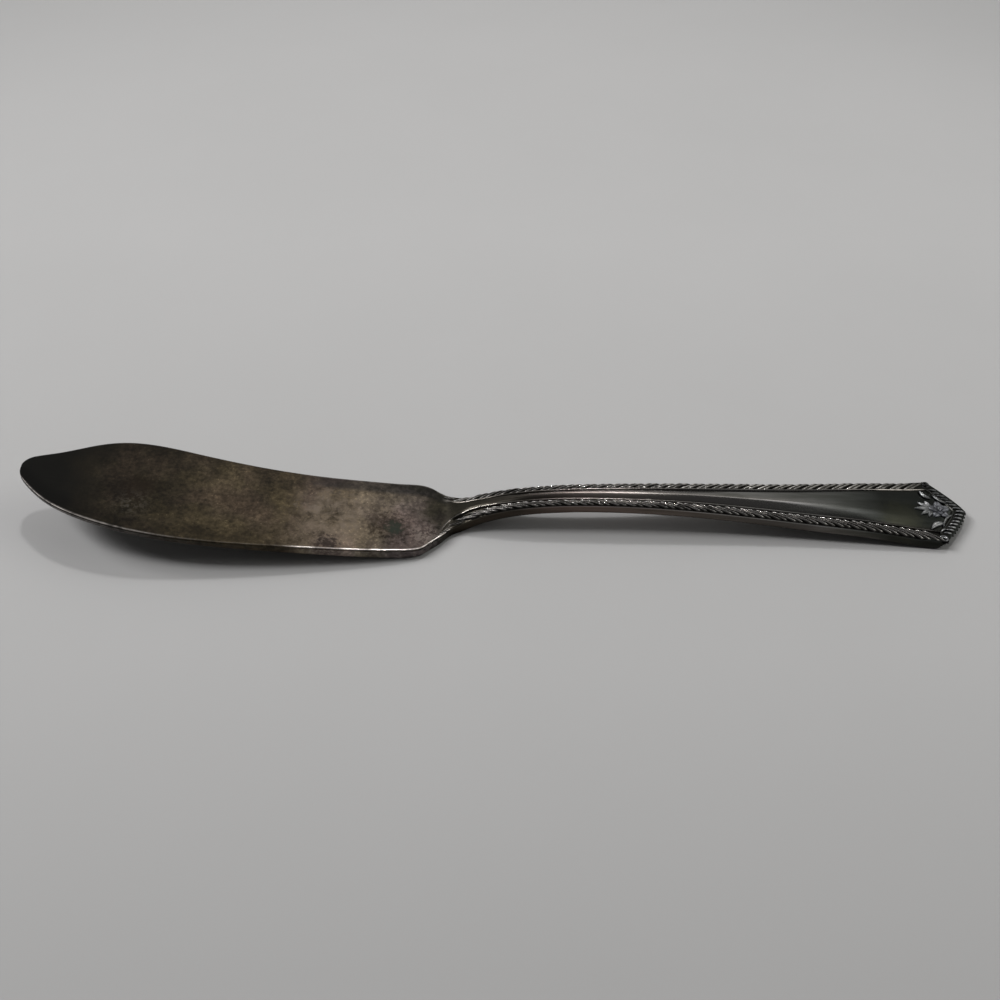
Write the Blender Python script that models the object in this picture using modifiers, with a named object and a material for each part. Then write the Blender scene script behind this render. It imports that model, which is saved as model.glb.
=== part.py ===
"""A flat-handled master butter knife, lying as it rests on a table.

The handle and its ornament are drawn flat: u runs from the neck seam to the end, y across, and z up from
the plane of the rope borders' crests. One bend then lays them all along the handle's arched side profile.
The blade lies on the other side of the neck seam, at negative u.
"""
import math

import bmesh
import bpy
import numpy as np
from mathutils import Vector

MM = 0.001

# Blade sizes: lengths from the neck seam, widths from the handle's axis, heights from the table
BLADE_LENGTH = 78.5 * MM
BACK_WIDTH = 11.6 * MM
EDGE_WIDTH = 11.6 * MM
TIP_HEIGHT = 9.9 * MM
TIP_OFFSET = 3.45 * MM
TIP_WIDTH = 0.3 * MM
HEEL_THICKNESS = 1.95 * MM
TIP_THICKNESS = 0.8 * MM
HEEL_FLAT = 5.0 * MM
ARRIS = 0.3 * MM

# Handle sizes
SIDE_LENGTH = 88.9 * MM
GABLE_LENGTH = 5.45 * MM
NECK_WIDTH = 7.6 * MM
STEM_WIDTH = 5.0 * MM
END_WIDTH = 14.9 * MM
ARCH_HEIGHT = 6.9 * MM
STEM_THICKNESS = 2.5 * MM
END_THICKNESS = 2.1 * MM
BACK_CROWN = 0.7 * MM
END_BEVEL = 1.1 * MM
CREST_STEM = 0.45 * MM
CREST_END = 0.15 * MM
THREAD_WIDTH = 0.5 * MM
THREAD_RISE = 0.2 * MM

# Border and ornament sizes
ROPE_STEM = 1.2 * MM
ROPE_END = 1.9 * MM
ROPE_HEIGHT = 0.6 * MM
ROPE_PITCH = 2.75 * MM
ROPE_LEAN = 3.6 * MM
GADROON_WIDTH = 1.6 * MM
FLUTE_PITCH = 1.1 * MM
SCROLL_RADIUS = 0.85 * MM
BLOSSOM_RADIUS = 1.8 * MM
BLOSSOM_HEIGHT = 0.45 * MM
PALMETTE_LENGTH = 2.7 * MM
PALMETTE_WIDTH = 3.4 * MM
SIDE_LEAF_LENGTH = 2.5 * MM
SIDE_LEAF_WIDTH = 1.5 * MM
LEAF_HEIGHT = 0.3 * MM
LEAF_GAP = 0.15 * MM

# Clearance kept where two pieces touch
SEAM = 0.05 * MM

# Where along the stem it is narrowest and highest, and how fast the neck flares
NARROW_AT = 16.0 * MM
ARCH_AT = 25.2 * MM
NECK_FLARE = 2.8 * MM
NECK_BLEND = 8.0 * MM
TAPER_POWER = 1.75
GABLE_POWER = 1.3
APEX_STRETCH = 1.25
SIDE_LEAF_TURN = math.radians(115.0)

# Outlines as fractions of the blade's length and widths, between the seam and the tip
BACK_OUTLINE = [(0.025, 0.39), (0.05, 0.515), (0.07, 0.585), (0.12, 0.58), (0.28, 0.56), (0.42, 0.625),
                (0.60, 0.845), (0.69, 0.956), (0.76, 0.997), (0.84, 0.90), (0.92, 0.69), (0.965, 0.60),
                (0.985, 0.54), (0.995, 0.46)]
EDGE_OUTLINE = [(0.03, 0.547), (0.07, 0.775), (0.09, 0.825), (0.15, 0.893), (0.30, 0.98), (0.47, 1.0),
                (0.60, 0.973), (0.73, 0.845), (0.83, 0.651), (0.93, 0.299), (0.986, -0.096), (0.996, -0.211)]
# How far the blade has risen from heel to tip, and the arch from the neck up and from its top down
BLADE_RISE = [(0.0, 0.0), (0.05, 0.07), (0.26, 0.36), (0.50, 0.60), (0.80, 0.86), (1.0, 1.0)]
ARCH_RISE = [(0.0, 0.0), (0.114, 0.26), (0.337, 0.65), (0.635, 0.91), (1.0, 1.0)]
ARCH_FALL = [(0.0, 1.0), (0.14, 0.967), (0.355, 0.765), (0.57, 0.495), (0.76, 0.275), (0.86, 0.105),
             (0.92, 0.03), (1.0, 0.0)]

U_APEX = SIDE_LENGTH + GABLE_LENGTH
SILVER = (0.20, 0.185, 0.17, 1.0)
DARK_SILVER = (0.11, 0.105, 0.10, 1.0)


def smooth_curve(knots, start_slope=None, end_slope=None):
    """A smooth function through the knots."""
    xs = np.array([knot[0] for knot in knots])
    ys = np.array([knot[1] for knot in knots])
    slopes = np.gradient(ys, xs)
    if start_slope is not None:
        slopes[0] = start_slope
    if end_slope is not None:
        slopes[-1] = end_slope

    def value(x):
        x = min(max(x, xs[0]), xs[-1])
        i = min(int(np.searchsorted(xs, x, side="right")) - 1, len(xs) - 2)
        step = xs[i + 1] - xs[i]
        t = (x - xs[i]) / step
        rise = t * t * (3.0 - 2.0 * t)
        ease_out = t * (1.0 - t) ** 2 * step
        ease_in = -t * t * (1.0 - t) * step
        return float(ys[i] + rise * (ys[i + 1] - ys[i]) + ease_out * slopes[i] + ease_in * slopes[i + 1])

    return value


def smoothstep(t):
    """Zero to one with no corner at either end."""
    t = min(max(t, 0.0), 1.0)
    return t * t * (3.0 - 2.0 * t)


def blend(a, b, t):
    """The value a share t of the way from a to b."""
    return a + (b - a) * t


def outline(knots, width, tip):
    """One side of the blade as a share of its width, from the neck's side to the tip."""
    return smooth_curve([(0.0, 0.5 * NECK_WIDTH / width)] + knots + [(1.0, tip / width)])


back_outline = outline(BACK_OUTLINE, BACK_WIDTH, TIP_OFFSET + 0.5 * TIP_WIDTH)
edge_outline = outline(EDGE_OUTLINE, EDGE_WIDTH, 0.5 * TIP_WIDTH - TIP_OFFSET)
blade_rise = smooth_curve(BLADE_RISE, start_slope=0.0)
arch_rise = smooth_curve(ARCH_RISE, start_slope=0.0, end_slope=0.0)
arch_fall = smooth_curve(ARCH_FALL, start_slope=0.0, end_slope=0.0)


def stem_share(u):
    """Zero at the narrow stem, one at the handle's corners."""
    return min(max((u - NARROW_AT) / (SIDE_LENGTH - NARROW_AT), 0.0), 1.0)


def half_width(u):
    """Half the handle's width at u."""
    flare = 0.5 * (NECK_WIDTH - STEM_WIDTH) * math.exp(-max(u, 0.0) / NECK_FLARE)
    spread = 0.5 * (END_WIDTH - STEM_WIDTH) * stem_share(u) ** TAPER_POWER
    return 0.5 * STEM_WIDTH + flare + spread


def thickness(u):
    """The side wall's height at u, from the rope crests' plane to the back."""
    neck = blend(HEEL_THICKNESS, STEM_THICKNESS, smoothstep(u / NECK_BLEND))
    return blend(neck, END_THICKNESS, stem_share(u))


def rope_width(u):
    """The rope border's width at u."""
    return blend(ROPE_STEM, ROPE_END, stem_share(u))


def crest(u):
    """How far the panel's middle stands above the rope crests' plane."""
    return smoothstep(u / NECK_BLEND) * blend(CREST_STEM, CREST_END, stem_share(u))


def top_height(u):
    """The height of the rope crests' plane over the table."""
    if u < ARCH_AT:
        return blend(HEEL_THICKNESS, ARCH_HEIGHT, arch_rise(u / ARCH_AT))
    return blend(END_THICKNESS, ARCH_HEIGHT, arch_fall((u - ARCH_AT) / (U_APEX - ARCH_AT)))


def bend(u, y, z):
    """Lay a point of the flat drawing along the arched side profile."""
    step = 0.05 * MM
    slope = (top_height(u + step) - top_height(u - step)) / (2.0 * step)
    if u < step:
        slope = 0.0
    length = math.hypot(1.0, slope)
    return Vector((u - z * slope / length, y, top_height(u) + z / length))


def corner(line):
    """The far corner between a side and a gable line, each moved inward by its own offset."""
    side_offset, gable_offset = line
    turn = math.atan2(0.5 * END_WIDTH, GABLE_LENGTH * GABLE_POWER)
    u = SIDE_LENGTH - (gable_offset - side_offset * math.cos(turn)) / math.sin(turn)
    return u, half_width(u) - side_offset


def on_side(share, line, start=0.0, stop_short=0.0):
    """A point of the far side line, from the neck to the corner."""
    u = blend(start, corner(line)[0] - stop_short, share)
    return u, half_width(u) - line[0]


def on_gable(share, line, stop_short=0.0):
    """A point of the far gable line, from the corner to the apex."""
    corner_u, corner_y = corner(line)
    corner_u += stop_short
    left = 1.0 - share
    return blend(apex(line[1]), corner_u, left ** GABLE_POWER), corner_y * left


def apex(offset):
    """Where a gable line moved inward meets the axis."""
    return U_APEX - offset * APEX_STRETCH


def border_line(u):
    """Where the thread line starts: past the rope on the side and past the gadroons on the gable."""
    return rope_width(u) + 2.0 * SEAM, GADROON_WIDTH + 2.0 * SEAM


def moved(line, step):
    """A line moved further inward."""
    return line[0] + step, line[1] + step


def panel_line(u):
    """Where the plain panel starts: past the thread line."""
    return moved(border_line(u), THREAD_WIDTH)


def panel_height(u, y):
    """The panel's surface over the rope crests' plane."""
    edge = max(half_width(min(u, SIDE_LENGTH)) - panel_line(u)[0], THREAD_WIDTH)
    return blend(crest(u), -THREAD_RISE, min(abs(y) / edge, 1.0) ** 2)


def new_object(name, mesh, colour, roughness):
    """An object of the knife with its own metal."""
    material = bpy.data.materials.new(name + "_metal")
    material.use_nodes = True
    shader = material.node_tree.nodes["Principled BSDF"]
    shader.inputs["Base Color"].default_value = colour
    shader.inputs["Metallic"].default_value = 1.0
    shader.inputs["Roughness"].default_value = roughness
    mesh.materials.append(material)
    made = bpy.data.objects.new(name, mesh)
    knife.objects.link(made)
    return made


def loft(name, sections, closed=True):
    """A mesh through sections of equal count; a closed loft joins each section into a loop and caps it."""
    made = bmesh.new()
    rows = [[made.verts.new(point) for point in section] for section in sections]
    count = len(rows[0])
    last = count if closed else count - 1
    for row, following in zip(rows, rows[1:]):
        for i in range(last):
            j = (i + 1) % count
            made.faces.new((row[i], row[j], following[j], following[i]))
    if closed:
        made.faces.new(list(reversed(rows[0])))
        made.faces.new(rows[-1])
    bmesh.ops.remove_doubles(made, verts=made.verts, dist=0.001 * MM)
    bmesh.ops.dissolve_degenerate(made, edges=made.edges, dist=0.001 * MM)
    bmesh.ops.recalc_face_normals(made, faces=made.faces)
    mesh = bpy.data.meshes.new(name)
    made.to_mesh(mesh)
    made.free()
    mesh.shade_smooth()
    mesh.set_sharp_from_angle(angle=math.radians(35.0))
    return mesh


def shares(count, power=1.0):
    """Shares from 0 to 1, closer together near 0 when the power is over 1."""
    return [(i / count) ** power for i in range(count + 1)]


def blade_section(share):
    """One loop across the blade, chamfered at its four arrises."""
    length = share * BLADE_LENGTH
    near = -edge_outline(share) * EDGE_WIDTH
    far = back_outline(share) * BACK_WIDTH
    rise = max(length - HEEL_FLAT, 0.0) / (BLADE_LENGTH - HEEL_FLAT)
    top = blend(HEEL_THICKNESS, TIP_HEIGHT, blade_rise(rise))
    bottom = top - blend(HEEL_THICKNESS, TIP_THICKNESS, math.sqrt(rise) if rise > 0.0 else 0.0)
    arris = min(ARRIS, 0.25 * (top - bottom), 0.2 * (far - near))
    inner_near = near + arris
    inner_far = far - arris
    third = (inner_far - inner_near) / 3.0
    across = [inner_near, inner_near + third, inner_far - third, inner_far]
    loop = [(y, top) for y in across]
    loop += [(far, top - arris), (far, bottom + arris)]
    loop += [(y, bottom) for y in reversed(across)]
    loop += [(near, bottom + arris), (near, top - arris)]
    return [Vector((-SEAM - length, y, z)) for y, z in loop]


def make_blade():
    """The spatula blade: a loft from the neck seam to the rounded tip."""
    heel = [i * HEEL_FLAT / BLADE_LENGTH / 6.0 for i in range(6)]
    body = [blend(1.0, HEEL_FLAT / BLADE_LENGTH, share) for share in reversed(shares(40, 1.8))]
    return new_object("blade", loft("blade", [blade_section(share) for share in heel + body]), SILVER, 0.42)


def handle_row(at, spine_u, chamfer):
    """One row of the handle's half, from the back's middle round the wall to the panel's middle."""
    outer = (0.0, 0.0)
    outer_u = at(outer)[0]
    wall = thickness(outer_u)
    crown = BACK_CROWN * smoothstep(outer_u / NECK_BLEND) * (1.0 - stem_share(outer_u))
    ledge = border_line(outer_u)
    profile = [(moved(outer, chamfer), -wall), (outer, chamfer - wall), (outer, -ROPE_HEIGHT),
               (ledge, -ROPE_HEIGHT), (ledge, -THREAD_RISE), (moved(ledge, 0.5 * THREAD_WIDTH), 0.0),
               (panel_line(outer_u), -THREAD_RISE)]
    edge_u, edge_y = at(moved(outer, chamfer))
    row = [(spine_u, 0.0, -wall - crown), (blend(spine_u, edge_u, 0.5), 0.5 * edge_y, -wall - 0.75 * crown)]
    row += [at(line) + (z,) for line, z in profile]
    inner_u, inner_y, inner_z = row[-1]
    for share in (0.35, 0.7, 1.0):
        u = blend(inner_u, spine_u, share)
        row.append((u, inner_y * (1.0 - share), blend(crest(u), inner_z, (1.0 - share) ** 2)))
    return [bend(u, y, z) for u, y, z in row]


def make_handle():
    """Neck, stem, panel and gable: half of a mitred loft, mirrored across the axis."""
    inner = panel_line(SIDE_LENGTH)
    inner_corner = corner(inner)[0]
    rows = []
    for share in shares(60, 1.6):
        rows.append(handle_row(lambda line: on_side(share, line), share * inner_corner, ARRIS))
    for share in shares(8)[1:]:
        spine_u = blend(inner_corner, apex(inner[1]), share)
        rows.append(handle_row(lambda line: on_gable(share, line), spine_u, END_BEVEL))
    mesh = loft("handle", rows, closed=False)
    seam_face(mesh)
    handle = new_object("handle", mesh, SILVER, 0.36)
    mirror = handle.modifiers.new("far and near halves", "MIRROR")
    mirror.use_axis = (False, True, False)
    mirror.merge_threshold = 0.01 * MM
    return handle


def seam_face(mesh):
    """Close the half handle at the neck seam, leaving it open only at the mirror plane."""
    made = bmesh.new()
    made.from_mesh(mesh)
    ends = [edge for edge in made.edges if edge.is_boundary and all(abs(v.co.x) < SEAM for v in edge.verts)]
    verts = list({vert for edge in ends for vert in edge.verts})
    low = min((v for v in verts if abs(v.co.y) < SEAM), key=lambda v: v.co.z)
    high = max((v for v in verts if abs(v.co.y) < SEAM), key=lambda v: v.co.z)
    bmesh.ops.contextual_create(made, geom=ends + [made.edges.new((low, high))])
    bmesh.ops.recalc_face_normals(made, faces=made.faces)
    made.to_mesh(mesh)
    made.free()


def relief_section(place, width, groove):
    """A half-round loop on the ledge; place(q) gives its points across the width, and groove lowers it."""
    floor = SEAM - ROPE_HEIGHT
    shoulder = 0.3 * ROPE_HEIGHT
    loop = [place(width) + (floor,), place(0.0) + (floor,)]
    for q in (0.0, 0.12, 0.31, 0.5, 0.69, 0.88, 1.0):
        round_over = math.sqrt(max(1.0 - (2.0 * q - 1.0) ** 2, 0.0))
        rise = shoulder + (ROPE_HEIGHT - SEAM - shoulder) * round_over * (1.0 - groove)
        loop.append(place(q * width) + (floor + rise,))
    return [bend(u, y, z) for u, y, z in loop]


def groove_depth(turns):
    """How deep the sharp groove is at a place between two rounded strands or flutes."""
    return 0.6 * (1.0 - abs(math.sin(math.pi * turns)) ** 0.7)


def make_rope(name, side):
    """A twisted rope border in the handle's ledge; its strands lean outward toward the end."""
    steps_per_strand = 4
    strands = round(SIDE_LENGTH / ROPE_PITCH)
    lean = ROPE_LEAN / SIDE_LENGTH
    sections = []
    for share in shares(strands * steps_per_strand):
        width = rope_width(share * SIDE_LENGTH) - SEAM
        fade = smoothstep(min(share, 1.0 - share) / (2.0 * lean))

        def place(offset):
            leaning = share + lean * fade * (0.5 - offset / width)
            return on_side(leaning, moved((0.0, 0.0), SEAM + offset), SEAM, SCROLL_RADIUS + 2.0 * SEAM)

        sections.append(relief_section(place, width, groove_depth(share * strands)))
    for section in sections:
        for point in section:
            point.y *= side
    return new_object(name, loft(name, sections), DARK_SILVER, 0.38)


def gable_edge():
    """The length of one gable edge from corner to apex."""
    return math.hypot(GABLE_LENGTH, 0.5 * END_WIDTH)


def make_end_border():
    """The gadrooned border: flutes round the gable from scroll to scroll, one at the apex."""
    steps_per_flute = 4
    start = (SCROLL_RADIUS + 4.0 * SEAM) / gable_edge()
    flutes = round(gable_edge() * (1.0 - start) / FLUTE_PITCH) + 0.5
    width = GADROON_WIDTH - SEAM
    far = []
    for share in shares(round(flutes * steps_per_flute)):

        def place(offset):
            return on_gable(blend(start, 1.0, share), moved((0.0, 0.0), SEAM + offset), SEAM)

        far.append(relief_section(place, width, groove_depth((1.0 - share) * flutes + 0.5)))
    near = [[Vector((p.x, -p.y, p.z)) for p in section] for section in reversed(far[:-1])]
    return new_object("end_border", loft("end_border", far + near), DARK_SILVER, 0.38)


def ornament(name, centre, outline, seat, relief, count):
    """A raised ornament: rings of one outline from its seat up to its middle; relief gives their rise."""
    sections = []
    for scale in (1.0, 1.0, 0.85, 0.65, 0.45, 0.25, 0.1):
        ring = []
        for i in range(count):
            angle = 2.0 * math.pi * i / count
            du, dy = outline(angle)
            u = centre[0] + scale * du
            y = centre[1] + scale * dy
            rise = relief(scale, angle) if sections else 0.0
            ring.append(bend(u, y, seat(u, y) + SEAM + rise))
        sections.append(ring)
    return new_object(name, loft(name, sections), SILVER, 0.4)


def make_scroll(name, side):
    """A volute at a corner of the gable: a spiral ridge that winds in to the middle."""
    u, y = corner(moved((0.0, 0.0), SCROLL_RADIUS + 2.0 * SEAM))

    def circle(angle):
        return SCROLL_RADIUS * math.cos(angle), SCROLL_RADIUS * math.sin(angle)

    def ledge(_u, _y):
        return -ROPE_HEIGHT

    def spiral(scale, angle):
        ridge = 0.5 + 0.5 * math.cos(2.0 * math.pi * 1.5 * scale - side * angle)
        return ROPE_HEIGHT * blend(0.65, 1.05, ridge) * (1.0 - 0.25 * scale)

    return ornament(name, (u, side * y), circle, ledge, spiral, 24)


def blossom_u():
    """The blossom's centre: against the inner apex of the border."""
    return apex(panel_line(SIDE_LENGTH)[1]) - 1.3 * BLOSSOM_RADIUS


def make_blossom():
    """Five round petals, each cupped, about a raised middle."""
    def petals(angle):
        reach = BLOSSOM_RADIUS * blend(0.72, 1.0, abs(math.cos(2.5 * angle)) ** 0.7)
        return reach * math.cos(angle), reach * math.sin(angle)

    def cupped(scale, angle):
        vein = 0.2 * abs(math.cos(2.5 * angle))
        return BLOSSOM_HEIGHT * (0.7 + vein - 0.45 * (scale - 0.65) ** 2 + 0.3 * max(0.3 - scale, 0.0))

    return ornament("blossom", (blossom_u(), 0.0), petals, panel_height, cupped, 40)


def make_leaf(name, turn, length, width, lobes):
    """A pointed leaf that grows away from the blossom along a direction, with paired lobes."""
    reach = BLOSSOM_RADIUS + LEAF_GAP + 0.5 * length
    centre = (blossom_u() + reach * math.cos(turn), reach * math.sin(turn))

    def lobed(angle):
        scallop = blend(1.0, 0.62, lobes * math.sin(2.5 * angle) ** 2)
        along = 0.5 * length * math.cos(angle) * scallop
        across = 0.5 * width * math.sin(angle) * scallop
        return (along * math.cos(turn) - across * math.sin(turn),
                along * math.sin(turn) + across * math.cos(turn))

    def ribbed(scale, angle):
        return LEAF_HEIGHT * (1.0 - 0.5 * scale * scale) * blend(1.0, 0.75, abs(math.sin(2.5 * angle)))

    return ornament(name, centre, lobed, panel_height, ribbed, 40)


def rest_on_origin():
    """Move every mesh so that the knife's box stands on the origin, centred over it."""
    parts = [part for part in knife.objects if part.type == "MESH"]
    corners = np.array([vert.co for part in parts for vert in part.data.vertices])
    low = corners.min(axis=0)
    high = corners.max(axis=0)
    for part in parts:
        part.location = (-0.5 * (low[0] + high[0]), -0.5 * (low[1] + high[1]), -low[2])


for old in list(bpy.data.objects):
    bpy.data.objects.remove(old, do_unlink=True)
knife = bpy.data.collections.new("butter_knife")
bpy.context.scene.collection.children.link(knife)

make_blade()
make_handle()
make_rope("rope_border_far", 1.0)
make_rope("rope_border_near", -1.0)
make_end_border()
make_scroll("scroll_far", 1.0)
make_scroll("scroll_near", -1.0)
make_blossom()
make_leaf("leaf_centre", math.pi, PALMETTE_LENGTH, PALMETTE_WIDTH, 1.0)
make_leaf("leaf_far", SIDE_LEAF_TURN, SIDE_LEAF_LENGTH, SIDE_LEAF_WIDTH, 0.3)
make_leaf("leaf_near", -SIDE_LEAF_TURN, SIDE_LEAF_LENGTH, SIDE_LEAF_WIDTH, 0.3)
rest_on_origin()
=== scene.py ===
# %% [markdown]
# # A tarnished butter knife
# The knife lies face up on a pale table: a broad blade with a humped back, a stepped neck and an arched
# handle with rope borders. The imported CAD model is the fixed frame that every piece is built around.
# Its box is kept, and sets the tip and the span of the colour ramps.

# %% Load the frame
import math

import bmesh
import bpy
import numpy as np
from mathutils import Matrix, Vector


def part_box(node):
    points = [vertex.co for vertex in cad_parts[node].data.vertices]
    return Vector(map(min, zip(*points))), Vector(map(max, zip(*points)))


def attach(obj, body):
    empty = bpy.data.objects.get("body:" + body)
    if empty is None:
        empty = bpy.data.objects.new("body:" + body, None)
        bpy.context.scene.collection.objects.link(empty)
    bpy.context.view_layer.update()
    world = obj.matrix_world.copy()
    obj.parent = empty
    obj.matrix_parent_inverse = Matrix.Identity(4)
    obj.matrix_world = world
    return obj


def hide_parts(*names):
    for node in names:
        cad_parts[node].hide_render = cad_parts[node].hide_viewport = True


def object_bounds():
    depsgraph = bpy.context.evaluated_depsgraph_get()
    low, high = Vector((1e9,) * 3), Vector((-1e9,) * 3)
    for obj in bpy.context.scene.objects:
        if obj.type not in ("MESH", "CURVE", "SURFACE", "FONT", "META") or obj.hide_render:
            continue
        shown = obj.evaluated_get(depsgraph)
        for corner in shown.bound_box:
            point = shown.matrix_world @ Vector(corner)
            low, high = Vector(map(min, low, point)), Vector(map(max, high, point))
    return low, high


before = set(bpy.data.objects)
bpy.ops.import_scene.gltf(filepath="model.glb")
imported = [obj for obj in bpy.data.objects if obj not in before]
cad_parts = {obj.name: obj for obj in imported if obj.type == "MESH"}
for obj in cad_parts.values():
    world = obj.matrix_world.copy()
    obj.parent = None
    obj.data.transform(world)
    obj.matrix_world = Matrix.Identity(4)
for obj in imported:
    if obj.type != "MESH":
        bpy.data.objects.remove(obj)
cad_low, cad_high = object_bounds()
print("frame nodes:", ", ".join(sorted(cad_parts)))

# %% [markdown]
# ## The knife's own axis
# All shapes are first drawn flat, in millimetres: u runs along the knife from the neck, negative on the
# blade, y runs across it and z is height above its top face. The frame says where that axis lies.

# %% Take the main places from the frame
MM = 0.001
HANDLE_LENGTH = 94.35
handle_low, handle_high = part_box("handle")
NECK_X = handle_high.x / MM - HANDLE_LENGTH
AXIS_Y = (handle_low.y + handle_high.y) / 2 / MM
TIP_U = cad_low.x / MM - NECK_X
TIP_HEIGHT = cad_high.z / MM
print(f"neck at x {NECK_X:.2f} mm, axis at y {AXIS_Y:.2f} mm, tip at u {TIP_U:.2f} mm")

# %% [markdown]
# ## Smooth lines through a few pins
# A maker draws the side view and the outline with a bent lath held at a few pins. A natural cubic spline
# is the same thing in numbers: it bends as little as it can, so reflections run along it without kinks.

# %% Lath through pins
def lath(pins):
    x, y = np.array(pins, float).T
    gap = np.diff(x)
    count = len(x)
    system = np.eye(count)
    right = np.zeros(count)
    for i in range(1, count - 1):
        system[i, i - 1:i + 2] = gap[i - 1], 2 * (gap[i - 1] + gap[i]), gap[i]
        right[i] = 6 * ((y[i + 1] - y[i]) / gap[i] - (y[i] - y[i - 1]) / gap[i - 1])
    curve = np.linalg.solve(system, right)

    def at(t, slope=False):
        t = np.asarray(t, float)
        i = np.clip(np.searchsorted(x, t) - 1, 0, count - 2)
        q = (t - x[i]) / gap[i]
        p = 1 - q
        if slope:
            rise = (y[i + 1] - y[i]) / gap[i]
            return rise + gap[i] / 6 * ((3 * q * q - 1) * curve[i + 1] - (3 * p * p - 1) * curve[i])
        cubic = (p ** 3 - p) * curve[i] + (q ** 3 - q) * curve[i + 1]
        return p * y[i] + q * y[i + 1] + gap[i] ** 2 / 6 * cubic

    return at


def mix(low, high, share):
    return low + (high - low) * share


def ease(share):
    share = np.clip(share, 0.0, 1.0)
    return share * share * (3 - 2 * share)


def eased(u, start, end):
    return ease((np.asarray(u, float) - start) / (end - start))


def bulge(u, place, reach):
    return np.exp(-((u - place) / reach) ** 2)


print("a lath through (0,0) (1,1) (2,0) is at", float(lath([(0, 0), (1, 1), (2, 0)])(0.5)), "half way up")

# %% [markdown]
# ## The side view
# Seen from the side, the blade climbs away from the table to its tip, the heel lies flat, and the handle
# arches up in a few millimetres and comes slowly down again. Every flat drawing is bent along this line:
# a point moves up to the line and its height is measured square to it.

# %% Side profile and bend
top_line = lath([
    (TIP_U, TIP_HEIGHT), (-62.4, 8.72), (-46.8, 6.78), (-29.2, 4.78), (-16.6, 3.24), (-9.7, 2.42),
    (-6.4, 2.08), (-4.4, 1.97), (-2.3, 1.98), (0, 2.14), (1.4, 2.55), (3, 3.25), (5, 4.05), (8.5, 5.16),
    (16, 6.44), (25.2, 6.9), (34.9, 6.74), (49.8, 5.77), (64.6, 4.48), (77.8, 3.42), (84.7, 2.61),
    (88.8, 2.25), (HANDLE_LENGTH, 2.1),
])


def square_up(u):
    slope = top_line(u, slope=True)
    return np.stack([-slope, np.zeros_like(slope), np.ones_like(slope)], -1) / np.hypot(1, slope)[..., None]


def bend(u, y, z):
    u, y, z = np.broadcast_arrays(*(np.asarray(part, float) for part in (u, y, z)))
    on_line = np.stack([u + NECK_X, y + AXIS_Y, top_line(u)], -1)
    return (on_line + z[..., None] * square_up(u)) * MM


print("top line:", ", ".join(f"u {u} z {float(top_line(u)):.2f}" for u in (-78, -40, -5, 0, 25, 94)))

# %% [markdown]
# ## The outline
# The back of the blade swells to a hump before the tip, and the belly on the other side ends at the heel
# in a slanting cut. Each side is one lath from the tip to the corner of the gable, followed by its own
# length, because the line doubles back at the tip and a plain y of u would break there.

# %% Two edges in plan
NARROW_AT = 16.0
SIDE_LENGTH = 88.9
STEM_HALF, NECK_FLARE, FLARE_REACH = 2.5, 1.3, 2.8
END_SPREAD, SPREAD_POWER = 4.95, 1.75
EDGE_SAMPLES = 9000
PAST_HEEL = -3.0
TIP = (TIP_U + 0.28, 3.7)
back_pins = [
    TIP, (-78.32, 4.7), (-77.85, 5.7), (-77.2, 6.35), (-75.8, 6.95), (-72.3, 7.95), (-65.8, 10.45),
    (-62.3, 11.36), (-58.8, 11.65), (-54.8, 11.4), (-47.5, 10.15), (-33, 7.68), (-24, 6.9), (-14, 6.72),
    (-9, 6.75), (-6.2, 6.74), (-4.3, 6.1), (-2.2, 4.6), (0, 3.75),
]
belly_pins = [
    TIP, (-78.18, 2.75), (-77.85, 1.75), (-76.4, -0.2), (-72.9, -3.5), (-65, -7.65), (-56, -10.0),
    (-47, -10.95), (-36.9, -11.15), (-23.2, -10.82), (-11.5, -10.1), (-7.1, -9.55), (-5.7, -9.15),
    (-4.0, -7.75), (-2.2, -6.2), (0, -3.9),
]
stem_pins_u = np.array([1.5, 3, 5, 8, 12, 16, 22, 30, 40, 50, 60, 70, 80, SIDE_LENGTH, 91])


def stem_share(u):
    return np.clip((np.asarray(u, float) - NARROW_AT) / (SIDE_LENGTH - NARROW_AT), 0, 1.1)


def half_width(u):
    return STEM_HALF + NECK_FLARE * np.exp(-u / FLARE_REACH) + END_SPREAD * stem_share(u) ** SPREAD_POWER


def lengths_along(line):
    return np.concatenate([[0], np.cumsum(np.hypot(*np.diff(line, axis=0).T))])


def edge_line(pins, side):
    points = np.array(pins + [(u, side * half_width(u)) for u in stem_pins_u], float)
    along = lengths_along(points)
    where = np.linspace(0, along[-1], EDGE_SAMPLES)
    return np.stack([lath(np.stack([along, points[:, k]], -1))(where) for k in (0, 1)], -1)


BACK, BELLY = 1, -1
edges = {BACK: edge_line(back_pins, BACK), BELLY: edge_line(belly_pins, BELLY)}


def blade_edge(side, shares):
    line = edges[side][edges[side][:, 0] <= 0]
    along = lengths_along(line)
    return np.stack([np.interp(shares * along[-1], along, line[:, k]) for k in (0, 1)], -1)


def edge_y(side, u):
    line = edges[side][edges[side][:, 0] > PAST_HEEL]
    return np.interp(u, line[:, 0], line[:, 1])


print(f"the blade spans y {edges[BELLY][:, 1].min():.2f} to {edges[BACK][:, 1].max():.2f} mm")

# %% [markdown]
# ## What the section looks like at each place
# The handle's section, from the rim inward, is a ledge that carries the rope, a fine half-round thread
# and a panel of two slopes with a rounded ridge. The blade's section is flat with a soft arris. A share
# that eases from 0 to 1 over the neck turns one into the other, as the punch does on the real blank.

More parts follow.
